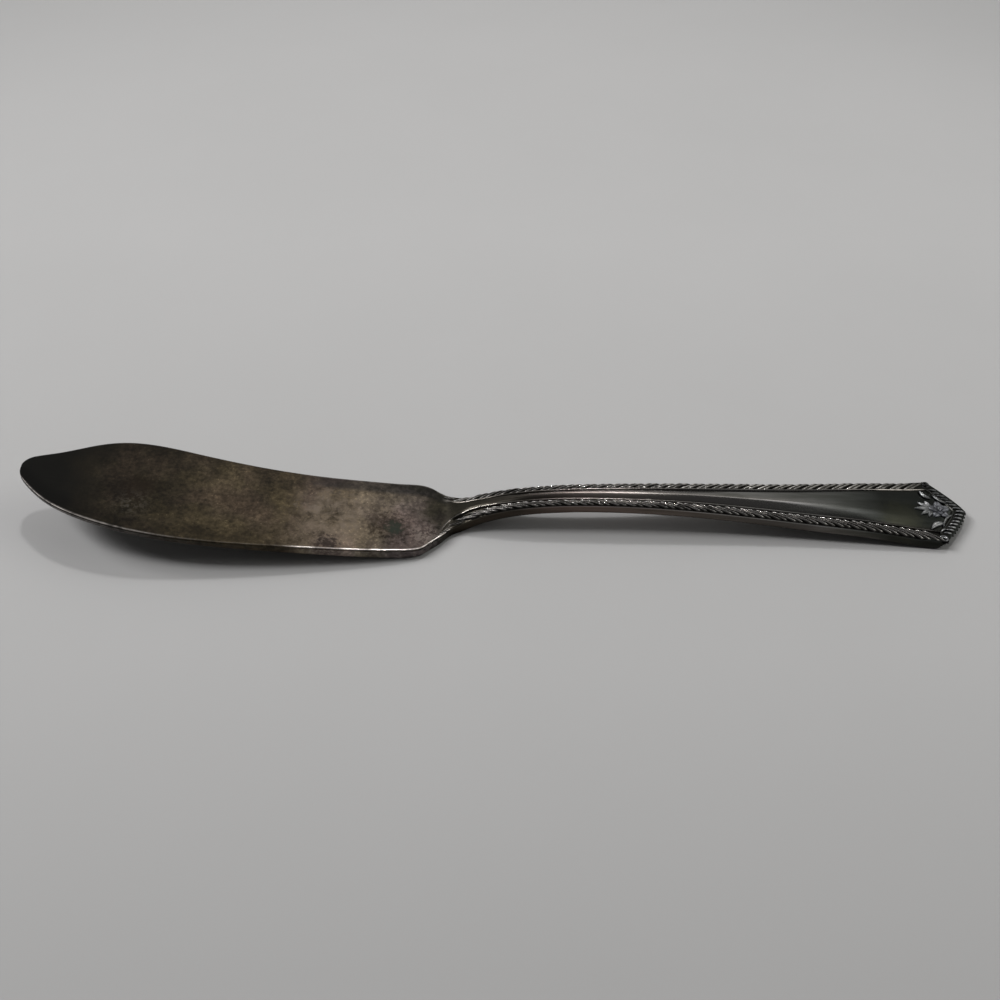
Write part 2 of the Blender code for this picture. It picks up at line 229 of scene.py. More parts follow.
# %% Sizes of the section
ARRIS, RIM = 0.22, 0.14
ROPE_STEM, ROPE_END, ROPE_HEIGHT = 1.25, 1.9, 0.6
GADROON_WIDTH = 1.65
THREAD, THREAD_RISE = 0.36, 0.2
NECK_GROOVE, GROOVE_DROP = 0.06, 0.03
CREST_STEM, CREST_END = 0.3, 0.05
HEEL_LENGTH, NECK_BLEND = 6, 2.6
HEEL_THICKNESS, TIP_THICKNESS, STEM_THICKNESS, END_THICKNESS = 2.35, 0.8, 2.5, 2.1


def on_handle(u):
    return eased(u, -NECK_BLEND, 0)


def rope_width(u):
    return mix(ROPE_STEM, ROPE_END, stem_share(u))


def ledge_width(side, u):
    u = np.asarray(u, float)
    near_extra = 0.8 * bulge(u, 2, 6) - 0.25 * bulge(u, 28, 12)
    return rope_width(u) + (near_extra if side == BELLY else 0)


def crest(u):
    return eased(u, 7, 20) * mix(CREST_STEM, CREST_END, stem_share(u) ** 1.6)


def groove(u):
    return mix(-NECK_GROOVE, -THREAD_RISE - GROOVE_DROP, eased(u, 5, 18))


def thickness(u):
    u = np.asarray(u, float)
    rise = np.clip((-u - HEEL_LENGTH) / (-TIP_U - HEEL_LENGTH), 0, 1)
    blade = mix(HEEL_THICKNESS, TIP_THICKNESS, rise ** 0.8)
    stem = mix(mix(HEEL_THICKNESS, STEM_THICKNESS, eased(u, 0, 8)), END_THICKNESS, stem_share(u))
    stem = stem + 0.22 * bulge(u, 83, 6)
    return np.minimum(np.where(u < 0, blade, stem), top_line(u))


print(f"rope {ROPE_STEM} to {ROPE_END} mm wide, panel crest {float(crest(20)):.2f} mm at the stem")

# %% [markdown]
# A section is a row of columns. Each border column has an inset from the rim and a height. The rope's
# width sets the inset on the sides and the gadroons' width sets it on the gable, so a column can turn
# the corner between them on a mitre.

# %% Border columns: rim, ledge, thread and groove
quarter = np.radians(np.linspace(0, 90, 7))
half_turn = np.linspace(0, math.pi, 9)
RIM_COUNT = len(quarter)


def border_insets(width):
    width = np.asarray(width, float)[..., None]
    rim = RIM * (1 - np.cos(quarter)) + 0 * width
    ledge = width * np.array([0.5, 1, 1, 1]) + np.array([0, -0.1, -0.02, 0.02])
    thread = width + 0.04 + THREAD * (1 - np.cos(half_turn)) / 2
    return np.concatenate([rim, ledge, thread, width + THREAD + 0.12], -1)


border_heights = np.concatenate([
    -ROPE_HEIGHT - RIM * (1 - np.sin(quarter)), [-ROPE_HEIGHT, -ROPE_HEIGHT, -ROPE_HEIGHT, -THREAD_RISE],
    THREAD_RISE * (np.sin(half_turn) ** 0.8 - 1), [-THREAD_RISE - GROOVE_DROP],
])
BORDER = len(border_heights)
border_wear = np.concatenate([np.zeros(RIM_COUNT), [0, 0, 0, 0.1], np.sin(half_turn) ** 2, [0.0]])
border_dirt = np.concatenate([np.zeros(RIM_COUNT), [1, 1, 1, 0.8], 1 - np.sin(half_turn), [1.0]])
FLAT_COUNT = BORDER - RIM_COUNT
arris_insets = np.concatenate([ARRIS * (1 - np.cos(quarter)), np.linspace(0.32, 2.4, FLAT_COUNT)])
arris_heights = np.concatenate([-ARRIS * (1 - np.sin(quarter)), np.zeros(FLAT_COUNT)])
arris_wear = np.concatenate([[0, 0, 0.2, 0.6, 1, 1, 1, 0.5], np.zeros(FLAT_COUNT - 1)])
PANEL = np.linspace(0, 1, 27)[1:]
WALL = np.linspace(0, 1, 6)[1:]
UNDER = np.linspace(0, 1, 15)[1:]
print(f"{BORDER} border columns, {len(PANEL)} panel columns and {len(UNDER)} underneath on each half")

# %% [markdown]
# ## Laying the rows along the knife
# Rows of columns follow the outline: across the blade from edge to edge, across the handle, and round
# the gable as chevrons. Rows are closest where the shape turns fastest, at the tip, neck and corners.

# %% Rows of the blade, the handle and the gable
APEX_STRETCH, GABLE_POWER = 1.25, 1.3
GABLE_LENGTH = HANDLE_LENGTH - SIDE_LENGTH
TIP_PART, HEEL_PART, NECK_PART = 0.12, 0.86, 0.14
FULL_BORDER_REACH = 3.4
gable_turn = math.atan2(STEM_HALF + END_SPREAD, GABLE_LENGTH * GABLE_POWER)


def corner_u(side_inset, gable_inset):
    return SIDE_LENGTH - (gable_inset - side_inset * math.cos(gable_turn)) / math.sin(gable_turn)


def blade_rows(side):
    shares = np.concatenate([
        np.linspace(0, 1, 60, endpoint=False) ** 1.6 * TIP_PART,
        np.linspace(TIP_PART, HEEL_PART, 120, endpoint=False), np.linspace(HEEL_PART, 1, 60)])
    rim = blade_edge(side, shares)
    spine = (rim + blade_edge(-side, shares)) / 2
    reach = np.linalg.norm(spine - rim, axis=-1, keepdims=True)
    inset = mix(arris_insets, border_insets(ledge_width(side, rim[:, 0])), on_handle(rim[:, :1]))
    inset = inset * np.minimum(1, reach / FULL_BORDER_REACH)
    inward = (spine - rim) / np.maximum(reach, 1e-9)
    return rim[:, None] + inward[:, None] * inset[..., None], spine


def handle_rows(side):
    shares = np.concatenate([np.linspace(0, NECK_PART, 61)[1:], np.linspace(NECK_PART, 1, 200)[1:]])[:, None]
    at_corner = border_insets(rope_width(SIDE_LENGTH))
    u = shares * corner_u(at_corner, border_insets(GADROON_WIDTH))
    inset = np.stack([border_insets(ledge_width(side, u[:, k]))[:, k] for k in range(BORDER)], -1)
    inset = mix(arris_insets, inset, on_handle(u))
    points = np.stack([u, edge_y(side, u) - side * inset], -1)
    return points, np.stack([u[:, -1], 0 * u[:, -1]], -1)


def gable_rows(side):
    left = 1 - np.linspace(0, 1, 25)[1:, None]
    at_corner, on_gable = border_insets(rope_width(SIDE_LENGTH)), border_insets(GADROON_WIDTH)
    start = corner_u(at_corner, on_gable)
    apex = HANDLE_LENGTH - APEX_STRETCH * on_gable
    u = mix(apex, start, left ** GABLE_POWER)
    y = (edge_y(side, start) - side * at_corner) * left
    spine_u = mix(apex[-1], start[-1], left[:, 0])
    return np.stack([u, y], -1), np.stack([spine_u, 0 * spine_u], -1)


def half_rows(side):
    parts = [blade_rows(side), handle_rows(side), gable_rows(side)]
    return np.concatenate([p[0] for p in parts]), np.concatenate([p[1] for p in parts])


row_counts = {made.__name__: len(made(BACK)[0]) for made in (blade_rows, handle_rows, gable_rows)}
print("rows:", ", ".join(f"{count} {name}" for name, count in row_counts.items()))

# %% [markdown]
# ## The skin of blade and handle
# Each half goes from the spine across the face to the rim, down the side and back underneath. The face
# comes first: a soft arris on the blade, then ledge, thread and panel on the handle. The panel's ridge
# is broad at the neck, sharper along the middle of the handle and broad again toward the gable.

# %% Heights across the top
LEDGE_SHALLOW_FROM, LEDGE_SHALLOW_TO = 84, 86.5


def top_heights(border, reach):
    u = border[:, 0, :1]
    share = on_handle(u)
    near_tip = np.where(u < -60, np.minimum(1, reach / 1.2), 1.0)
    sunk = np.minimum(share, mix(0.35, 1, eased(u, -NECK_BLEND, 3.4)))
    z_border = mix(arris_heights * mix(0.4, 1, near_tip), border_heights, sunk)
    ledge = slice(0, RIM_COUNT + 3)
    z_border[:, ledge] *= mix(1, 0.5, eased(border[:, ledge, 0], LEDGE_SHALLOW_FROM, LEDGE_SHALLOW_TO))
    z_border[:, -1:] = share * groove(u)
    soft = mix(0.9, mix(0.32, 1.2, eased(u, 58, 80)), eased(u, 30, 44))
    slope = (np.hypot(1 - PANEL, soft) - soft) / (np.hypot(1, soft) - soft)
    return z_border, share * mix(crest(u), groove(u), slope)


print("ledge grows shallow from u", LEDGE_SHALLOW_FROM, "to", LEDGE_SHALLOW_TO)

# %% [markdown]
# The side drops from the rim, turns in on a small bevel and closes underneath. On the belly's side of
# the handle it flares a little, and at the gable the bevel is wide, so that the end looks thin.

# %% Side and underside
BACK_CROWN = 0.7
END_RIM, END_BEVEL, END_FROM, END_TO = 0.95, 1.4, 87.6, 89
WALL_FLARE = 0.3
TURN = np.array([0.3, 1.0])


def side_and_under(side, rim, spine, reach, z_rim):
    u = rim[:, :1]
    wall = thickness(u)
    bevel = eased(u, END_FROM, END_TO)
    flare = WALL_FLARE * eased(u, 45, 70) * (1 - bevel) if side == BELLY else 0 * u
    low = rim + side * flare * [0, 1]
    side_wall = mix(rim[:, None], low[:, None], WALL[:, None])
    z_wall = mix(z_rim, mix(-wall + 0.2, -END_RIM, bevel), WALL)
    turn_share = mix(0.03, np.minimum(END_BEVEL / reach, 0.6), bevel)
    turn_in = low[:, None] + (spine - low)[:, None] * (turn_share * TURN)[..., None]
    z_turn = -wall + np.array([1.0, 0.0]) * mix(0.06, 0.6 * (wall - END_RIM), bevel)
    under = mix(turn_in[:, -1:], spine[:, None], UNDER[:, None])
    crown = BACK_CROWN * eased(u, 0, 8) * np.clip(1 - stem_share(u), 0, 1)
    z_under = -wall - crown * (1 - (1 - UNDER) ** 2)
    return np.concatenate([side_wall, turn_in, under], 1), np.concatenate([z_wall, z_turn, z_under], 1)


print(f"{len(WALL)} wall, {len(TURN)} bevel and {len(UNDER)} under columns")

# %% [markdown]
# Wear on raised lines and dirt in grooves are kept on the points for the finish to use later: the arris
# and the threads are rubbed bright, the ledge under the rope is black. On the near arris, on the near
# thread by the neck and on the far thread toward the gable, that brightness is also a painted highlight.
# A third mark says what is wall.

# %% Wear, painted highlight, dirt and wall marks
# the belly's arris is rubbed and also painted bright as a highlight; the back's arris is left nearly dark
ARRIS_WEAR_AND_HIGHLIGHT = {BACK: 0.12, BELLY: 1.0}
GROOVE_TARNISH = {BACK: 0.7, BELLY: 1.0}
RIDGE_RUB = 0.3


# painted highlight on top of wear: the near thread by the neck and the far thread toward the gable
def thread_wear_and_highlight(side, u):
    if side == BACK:
        return (0.3 + 1.2 * eased(u, 68, 75)) * mix(1, 0.06, eased(u, 87.5, 89))
    return (0.3 + 0.3 * eased(u, -1, 2) * eased(u, 12, 8)) * mix(1, 0.1, eased(u, 87, 89))


def edge_rub(u):
    return (0.5 * eased(u, -30, -42) + 0.45 * eased(u, -58, -70)) * eased(u, TIP_U, TIP_U + 6)


def finish_marks(side, border, columns):
    u = border[:, 0, :1]
    share = on_handle(u)
    wear, dirt, wall = (np.zeros((len(border), columns)) for _ in range(3))
    panel = slice(0, len(PANEL))
    face = slice(panel.stop, panel.stop + BORDER)
    edge = slice(face.stop, face.stop + len(WALL) + len(TURN))
    wear[:, panel] = RIDGE_RUB * eased(u, 26, 36) * eased(u, 74, 56) * bulge(PANEL, 1, 0.16)[::-1]
    dirt[:, panel] = share * np.exp(-PANEL * 14)[::-1]
    wear[:, face] = mix(arris_wear * ARRIS_WEAR_AND_HIGHLIGHT[side], border_wear * thread_wear_and_highlight(side, u), share)[:, ::-1]
    dirt[:, face] = (share * border_dirt)[:, ::-1] * GROOVE_TARNISH[side] * mix(0.5, 1, eased(u, 6, 14))
    dirt[:, face] *= mix(1, 0.75, eased(border[:, ::-1, 0], LEDGE_SHALLOW_FROM, LEDGE_SHALLOW_TO))
    wall[:, edge] = 1
    if side == BELLY:
        wear[:, edge] = edge_rub(u)
    return {"wear": wear, "dirt": dirt, "wall": wall}


print("arris shine: back", ARRIS_WEAR_AND_HIGHLIGHT[BACK], "belly", ARRIS_WEAR_AND_HIGHLIGHT[BELLY])

# %% [markdown]
# The two halves share their spine and are welded there, so the skin is one closed piece. Each point also
# keeps its distance from the back and from the belly, for the dark bands along them.

# %% Half a skin as arrays
BACK_ROLL, ROLL_REACH = 0.14, 3.2
FAR_AWAY = 9.0


def half_skin(side):
    border, spine = half_rows(side)
    rim = border[:, 0]
    reach = np.maximum(np.linalg.norm(spine - rim, axis=-1, keepdims=True), 1e-6)
    panel = mix(border[:, -1:], spine[:, None], PANEL[:, None])
    z_border, z_panel = top_heights(border, reach)
    below, z_below = side_and_under(side, rim, spine, reach, z_border[:, :1])
    flat = np.concatenate([panel[:, ::-1], border[:, ::-1], below], 1)
    z = np.concatenate([z_panel[:, ::-1], z_border[:, ::-1], z_below], 1)
    from_rim = np.linalg.norm(flat - rim[:, None], axis=-1)
    if side == BACK:
        u = rim[:, :1]
        roll = BACK_ROLL * eased(u, 1, -4)
        z -= roll * np.clip(1 - from_rim / ROLL_REACH, 0, 1) ** 2 * (z > -0.5 * thickness(u))
    marks = finish_marks(side, border, z.shape[1])
    marks["from_belly"] = np.where(side == BELLY, from_rim, FAR_AWAY)
    marks["from_back"] = np.where(side == BACK, from_rim, FAR_AWAY)
    return bend(flat[..., 0], flat[..., 1], z), marks


print("half skin grid:", half_skin(BACK)[0].shape[:2])

# %% Weld both halves into one mesh
def grid_faces(rows, columns, first=0, flip=False):
    at = first + np.arange(rows * columns).reshape(rows, columns)
    quads = np.stack([at[:-1, :-1], at[:-1, 1:], at[1:, 1:], at[1:, :-1]], -1).reshape(-1, 4)
    return quads[:, ::-1] if flip else quads


def clean_mesh(name, points, faces, marks, weld=0.002 * MM):
    mesh = bpy.data.meshes.new(name)
    mesh.from_pydata(points.reshape(-1, 3).tolist(), [], [list(map(int, face)) for face in faces])
    for key, values in marks.items():
        stored = mesh.attributes.new(key, "FLOAT", "POINT")
        stored.data.foreach_set("value", np.ravel(values).astype(np.float32))
    work = bmesh.new()
    work.from_mesh(mesh)
    bmesh.ops.remove_doubles(work, verts=work.verts, dist=weld)
    bmesh.ops.dissolve_degenerate(work, edges=work.edges, dist=weld / 4)
    bmesh.ops.recalc_face_normals(work, faces=work.faces)
    loose = sum(1 for edge in work.edges if not edge.is_manifold)
    work.to_mesh(mesh)
    work.free()
    mesh.shade_smooth()
    print(f"{name}: {len(mesh.vertices)} points, {len(mesh.polygons)} faces, {loose} open edges")
    return mesh


def new_piece(name, mesh):
    piece = bpy.data.objects.new(name, mesh)
    bpy.context.scene.collection.objects.link(piece)
    return piece


skin_points, skin_faces, skin_marks = [], [], {}
for side in (BELLY, BACK):
    points, marks = half_skin(side)
    count = sum(len(part) for part in skin_points)
    skin_faces.append(grid_faces(*points.shape[:2], first=count, flip=side == BACK))
    skin_points.append(points.reshape(-1, 3))
    for key, values in marks.items():
        skin_marks.setdefault(key, []).append(np.ravel(values))
skin_marks = {key: np.concatenate(values) for key, values in skin_marks.items()}
skin = clean_mesh("knife_skin", np.concatenate(skin_points), np.concatenate(skin_faces), skin_marks)
knife_skin = new_piece("knife_skin", skin)

# %% [markdown]
# ## Raised ornament from one kind of cushion
# Rope strands, gadroons, petals and leaflets are all small cushions: a shaped top with a skirt that is
# sunk into the metal below and a closed underside. One helper makes them from a grid of top points, and
# marks the high parts as worn and the low parts as dirty.

# %% Closed cushion from a grid of top points
def cushion(name, top, wear, dirt, sink):
    rows, columns = top.shape[:2]
    at = np.arange(rows * columns).reshape(rows, columns)
    ring = np.concatenate([at[0, :-1], at[:-1, -1], at[-1, :0:-1], at[:0:-1, 0]])
    skirt = top.reshape(-1, 3)[ring] * (1, 1, 0) + (0, 0, -sink)
    first = rows * columns
    below = first + np.arange(len(ring))
    faces = list(grid_faces(rows, columns))
    faces += [[ring[i], ring[i - 1], below[i - 1], below[i]] for i in range(len(ring))]
    faces.append(list(below))
    marks = {"wear": np.concatenate([wear.ravel(), np.zeros(len(ring))]),
             "dirt": np.concatenate([dirt.ravel(), np.ones(len(ring))])}
    return clean_mesh(name, np.concatenate([top.reshape(-1, 3), skirt]), faces, marks, weld=1e-5)


print("cushions have a top, a skirt and an underside")

# %% [markdown]
# ## Beads along a border
# The rope has more than thirty equal strands a side and the gable has gadroons, so a Geometry Nodes tree
# lays them. It takes a path with its own directions, width and height, spaces a bead along it, turns
# each bead to the path, and varies the heights a little with a fixed seed, as hand-cut dies do. Three
# small helpers add a node and connect it, here and in the finishes further down.

# %% Node helpers
def add_node(tree, kind, inputs=None, **settings):
    made = tree.nodes.new(kind)
    for key, value in settings.items():
        setattr(made, key, value)
    for key, value in (inputs or {}).items():
        if isinstance(value, bpy.types.NodeSocket):
            tree.links.new(value, made.inputs[key])
        else:
            made.inputs[key].default_value = value
    return made


def maths(tree, how, a, b):
    return add_node(tree, "ShaderNodeMath", {0: a, 1: b}, operation=how).outputs[0]


def times(tree, a, b):
    return maths(tree, "MULTIPLY", a, b)


print("node helpers are ready")

# %% Geometry Nodes tree for a border
def border_tree():
    tree = bpy.data.node_groups.new("beads along a border", "GeometryNodeTree")
    for name, way, kind in (
            ("Path", "INPUT", "NodeSocketGeometry"), ("Bead", "INPUT", "NodeSocketObject"),
            ("Bead Count", "INPUT", "NodeSocketInt"), ("Bead Length", "INPUT", "NodeSocketFloat"),
            ("Unevenness", "INPUT", "NodeSocketFloat"), ("Seed", "INPUT", "NodeSocketInt"),
            ("Metal", "INPUT", "NodeSocketMaterial"), ("Border", "OUTPUT", "NodeSocketGeometry")):
        tree.interface.new_socket(name, in_out=way, socket_type=kind)
    given = tree.nodes.new("NodeGroupInput").outputs

    def stored(name, kind):
        made = add_node(tree, "GeometryNodeInputNamedAttribute", {"Name": name}, data_type=kind)
        return next(socket for socket in made.outputs if socket.enabled)

    curve = add_node(tree, "GeometryNodeMeshToCurve", {"Mesh": given["Path"]}).outputs["Curve"]
    spaced = add_node(tree, "GeometryNodeResampleCurve", {"Curve": curve, "Count": given["Bead Count"]})
    turned = add_node(tree, "FunctionNodeAxesToRotation", {
        0: stored("bead_ahead", "FLOAT_VECTOR"), 1: stored("bead_up", "FLOAT_VECTOR")},
        primary_axis="X", secondary_axis="Z")
    lowest = maths(tree, "SUBTRACT", 1.0, given["Unevenness"])
    chance = add_node(tree, "FunctionNodeRandomValue", {
        2: lowest, 3: 1.0, "Seed": given["Seed"]}, data_type="FLOAT").outputs[1]
    size = add_node(tree, "ShaderNodeCombineXYZ", {
        "X": given["Bead Length"], "Y": stored("bead_width", "FLOAT"),
        "Z": times(tree, stored("bead_height", "FLOAT"), chance)})
    bead = add_node(tree, "GeometryNodeObjectInfo", {"Object": given["Bead"]})
    laid = add_node(tree, "GeometryNodeInstanceOnPoints", {
        "Points": spaced.outputs["Curve"], "Instance": bead.outputs["Geometry"],
        "Rotation": turned.outputs[0], "Scale": size.outputs[0]})
    whole = add_node(tree, "GeometryNodeRealizeInstances", {"Geometry": laid.outputs["Instances"]})
    metal = add_node(tree, "GeometryNodeSetMaterial", {
        "Geometry": whole.outputs["Geometry"], "Material": given["Metal"]})
    add_node(tree, "NodeGroupOutput", {"Border": metal.outputs["Geometry"]})
    return tree


bead_tree = border_tree()
tree_inputs = [item.name for item in bead_tree.interface.items_tree if item.in_out == "INPUT"]
print("tree inputs:", ", ".join(tree_inputs))

# %% [markdown]
# A path is a chain of points with four stored values: two directions, a width and a height. The tree's
# result is turned into a plain mesh and path and bead are thrown away, so that only finished metal is
# left in the scene.

# %% Lay beads along a path
def path_object(points, ups, widths, heights, closed=False, ahead=None):
    count = len(points)
    if ahead is None:
        ahead = np.gradient(points, axis=0)
        if closed:
            ahead = np.roll(points, -1, axis=0) - np.roll(points, 1, axis=0)
    mesh = bpy.data.meshes.new("border_path")
    links = [(i, i + 1) for i in range(count - 1)] + ([(count - 1, 0)] if closed else [])
    mesh.from_pydata(points.tolist(), links, [])
    for key, vectors in (("bead_up", ups), ("bead_ahead", ahead)):
        vectors = np.broadcast_to(vectors, (count, 3))
        vectors = (vectors / np.linalg.norm(vectors, axis=-1, keepdims=True)).astype(np.float32)
        mesh.attributes.new(key, "FLOAT_VECTOR", "POINT").data.foreach_set("vector", vectors.ravel())
    for key, values in (("bead_width", widths), ("bead_height", heights)):
        values = np.broadcast_to(values, count).astype(np.float32)
        mesh.attributes.new(key, "FLOAT", "POINT").data.foreach_set("value", values)
    return new_piece("border_path", mesh)


def lay_beads(name, path, bead_mesh, count, length, metal, unevenness=0.0, seed=0):
    bead = new_piece("bead", bead_mesh)
    laid = path.modifiers.new("beads", "NODES")
    laid.node_group = bead_tree
    given = {"Bead": bead, "Bead Count": count, "Bead Length": length, "Unevenness": unevenness,
             "Seed": seed, "Metal": metal}
    for item in bead_tree.interface.items_tree:
        if item.name in given:
            laid[item.identifier] = given[item.name]
    bpy.context.view_layer.update()
    ready = path.evaluated_get(bpy.context.evaluated_depsgraph_get())
    mesh = bpy.data.meshes.new_from_object(ready)
    mesh.name = name
    for key in ("bead_up", "bead_ahead", "bead_width", "bead_height"):
        if key in mesh.attributes:
            mesh.attributes.remove(mesh.attributes[key])
    path.modifiers.remove(laid)
    for spare in (path, bead):
        old = spare.data
        bpy.data.objects.remove(spare)
        bpy.data.meshes.remove(old)
    print(f"{name}: {count} beads, {len(mesh.polygons)} faces")
    return mesh


print("beads are laid with", bead_tree.name)

# %% [markdown]
# ## Metal that has not been polished for years
# Silver plate tarnishes brown and black in the hollows and stays bright where hands and cloths rub it.
# Every finish below starts from the same nodes, so each kind gets a helper of its own.

# %% Finish helpers and colours
def tone(red, green, blue, lift=1.0):
    linear = [((c / 255 + 0.055) / 1.055) ** 2.4 if c > 10 else c / 255 / 12.92 for c in (red, green, blue)]
    return tuple(min(1.0, c * lift) for c in linear) + (1.0,)


def new_metal(name):
    metal = bpy.data.materials.new(name)
    metal.use_nodes = True
    tree = metal.node_tree
    tree.nodes.clear()
    shader = add_node(tree, "ShaderNodeBsdfPrincipled", {"Metallic": 1.0})
    add_node(tree, "ShaderNodeOutputMaterial", {"Surface": shader.outputs[0]})
    place = add_node(tree, "ShaderNodeTexCoord").outputs["Object"]
    return metal, tree, shader, place


def noise(tree, place, scale, detail=4.0, rough=0.6, distortion=0.0):
    return add_node(tree, "ShaderNodeTexNoise", {
        "Vector": place, "Scale": scale, "Detail": detail, "Roughness": rough, "Distortion": distortion})


def span(tree, value, low, high, to_low=0.0, to_high=1.0, smooth=False):
    return add_node(tree, "ShaderNodeMapRange", {
        "Value": value, "From Min": low, "From Max": high, "To Min": to_low, "To Max": to_high},
        interpolation_type="SMOOTHSTEP" if smooth else "LINEAR").outputs["Result"]


def paint(tree, share, under, over, how="MIX"):
    return add_node(
        tree, "ShaderNodeMix", {0: share, 6: under, 7: over}, data_type="RGBA", blend_type=how,
        clamp_factor=True).outputs[2]


def ramp(tree, value, low, high, pins):
    made = add_node(tree, "ShaderNodeValToRGB", {0: span(tree, value, low, high)})
    stops = made.color_ramp.elements
    while len(stops) < len(pins):
        stops.new(0.5)
    for stop, (place, colour) in zip(stops, pins):
        stop.position = (place - low) / (high - low)
        stop.color = colour
    return made.outputs["Color"]


def stored_mark(tree, name):
    mark = add_node(tree, "ShaderNodeAttribute", attribute_name=name, attribute_type="GEOMETRY")
    return mark.outputs["Fac"]


print("mid brown tarnish is", tuple(round(c, 3) for c in tone(64, 56, 44)[:3]), "in linear light")

# %% [markdown]
# ### Finish of the relief
# In the borders and the flower the tarnish is nearly black at the bottom of every line, and the ridges
# are rubbed to grey. The stored wear and dirt decide which is which, and noise breaks up their edges.
# Each fade takes the rubbing down along one axis: toward the far side of a border and, on the ropes,
# toward the neck.

# %% Relief finish
def relief_metal(name, ridge, low, hollow, gloss, fades=()):
    metal, tree, shader, place = new_metal(name)
    cloud = noise(tree, place, 420, 5, 0.65).outputs["Fac"]
    grain = noise(tree, place, 3200, 3, 0.6).outputs["Fac"]
    rubbed = times(tree, stored_mark(tree, "wear"), span(tree, cloud, 0.36, 0.6, 0.2, 1.2))
    where = add_node(tree, "ShaderNodeSeparateXYZ", {0: place})
    for axis, start, end, least in fades:
        rubbed = times(tree, rubbed, span(tree, where.outputs[axis], start * MM, end * MM, 1.0, least))
    colour = paint(tree, rubbed, low, ridge)
    colour = paint(tree, stored_mark(tree, "dirt"), colour, hollow)
    colour = paint(tree, span(tree, grain, 0.4, 0.75, 0.0, 0.4), colour, hollow)
    tree.links.new(colour, shader.inputs["Base Color"])
    tree.links.new(span(tree, rubbed, 0, 1, gloss + 0.2, gloss), shader.inputs["Roughness"])
    bumps = add_node(tree, "ShaderNodeBump", {"Height": grain, "Strength": 0.1, "Distance": 0.03 * MM})
    tree.links.new(bumps.outputs[0], shader.inputs["Normal"])
    print(f"{name}: ridges {ridge[0]:.2f}, hollows {hollow[0]:.3f}")
    return metal


border_metal = relief_metal(
    "blackened_border", tone(232, 227, 223), tone(62, 60, 57), tone(13, 12, 11), 0.18,
    (("Y", AXIS_Y + 2, AXIS_Y + 7, 0.3), ("X", NECK_X + 16, NECK_X + 3, 0.4)))
gable_metal = relief_metal(
    "blackened_gable", tone(156, 156, 158), tone(40, 40, 40), tone(10, 10, 10), 0.2,
    (("Y", AXIS_Y - 2, AXIS_Y + 2.5, 0.35),))
flower_metal = relief_metal(
    "blackened_flower", tone(160, 161, 166), tone(56, 57, 61), tone(13, 13, 14), 0.26)
leaf_metal = relief_metal(
    "rubbed_leaf", tone(184, 184, 185), tone(82, 83, 84), tone(15, 15, 16), 0.26)

# %% [markdown]
# ## Rope borders
# Each strand is a leaning ridge with two fine reeds, cut off by the rope's half-round section. The grid
# follows the lean, so the groove between two strands falls exactly on the cushion's long edges. Both
# ropes lean outward toward the handle's end. The near one leans further and has deeper reeds, and the
# far one is rubbed most on the first reed of each strand.

# %% One rope strand
STRANDS, ROPE_PITCH, ROPE_TO = 32, 2.75, 86.4
ROPE_FROM = {BACK: -1.0, BELLY: -1.7}
ROPE_FILL = {BACK: 0.93, BELLY: 1.04}
ROPE_LEAN = {BACK: 2.7, BELLY: 3.7}
REED_DEPTH = {BACK: 0.15, BELLY: 0.24}
REED_FLAT = {BACK: 0.5, BELLY: 0.36}
GROOVE_DIRT = {BACK: 0.8, BELLY: 1.2}
RUB_FROM = {BACK: -0.2, BELLY: -0.25}
RUB_FADE = {BACK: 0.55, BELLY: 0.0}


def half_round(columns):
    return np.sin(np.linspace(-1, 1, columns) * math.pi / 2)


def dome(share):
    return np.sqrt(np.clip(1 - share ** 2, 0, 1))


def rope_strand(side):
    across = half_round(17)[:, None]
    over = np.linspace(0, 1, 31)[None]
    y = across / 2
    swell = dome(2 * over - 1)
    reeds = -np.cos(4 * math.pi * (over - 0.5))
    z = dome(across) ** REED_FLAT[side] * (0.06 + 0.66 * swell ** 0.8 + REED_DEPTH[side] * reeds * swell)
    x = over - 0.5 + side * ROPE_LEAN[side] / ROPE_PITCH * (y + 0.06 * np.sin(2 * math.pi * y))
    top = np.stack(np.broadcast_arrays(x, y, z), -1)
    wear = np.clip((z - 0.4) / 0.3, 0, 1) * np.clip((reeds - RUB_FROM[side]) / 0.6, 0, 1)
    wear = wear * (1 - RUB_FADE[side] * over)
    dirt = np.clip(GROOVE_DIRT[side] - z / 0.55, 0, 1) * 0.97
    return cushion("rope_strand", top, wear, dirt, sink=0.12)


def rope_path(side):
    u = np.arange(ROPE_FROM[side], ROPE_TO, 0.2)
    start = eased(u, -2, 5)
    laid_width = np.minimum(rope_width(u), ledge_width(side, u))
    middle_y = edge_y(side, u) - side * (laid_width / 2 + 0.03)
    points = bend(u, middle_y, mix(-0.4, -ROPE_HEIGHT, on_handle(u)))
    width = laid_width * mix(0.8, ROPE_FILL[side], start)
    return path_object(points, square_up(u), width * MM, mix(0.5, 0.72, start) * MM)


def lay_rope(name, side, seed):
    return new_piece(name, lay_beads(
        name, rope_path(side), rope_strand(side), STRANDS, ROPE_PITCH * MM, border_metal, 0.16, seed))


rope_far = lay_rope("rope_far", BACK, 3)
rope_near = lay_rope("rope_near", BELLY, 8)

# %% [markdown]
# ## Gadroons round the gable
# The gable's border is a row of tapered flutes that all run along the knife, fat at the rim and thin
# inside, with the tallest one on the apex. The same tree lays them along the middle of the border.

# %% One flute and its path
FLUTES, FLUTE_WIDTH, FLUTE_LENGTH = 15, 0.94, 2.1
FLUTE_HEIGHT, APEX_HEIGHT = 0.62, 0.8
FLUTE_REACH, APEX_ROUND = 0.82, 0.02


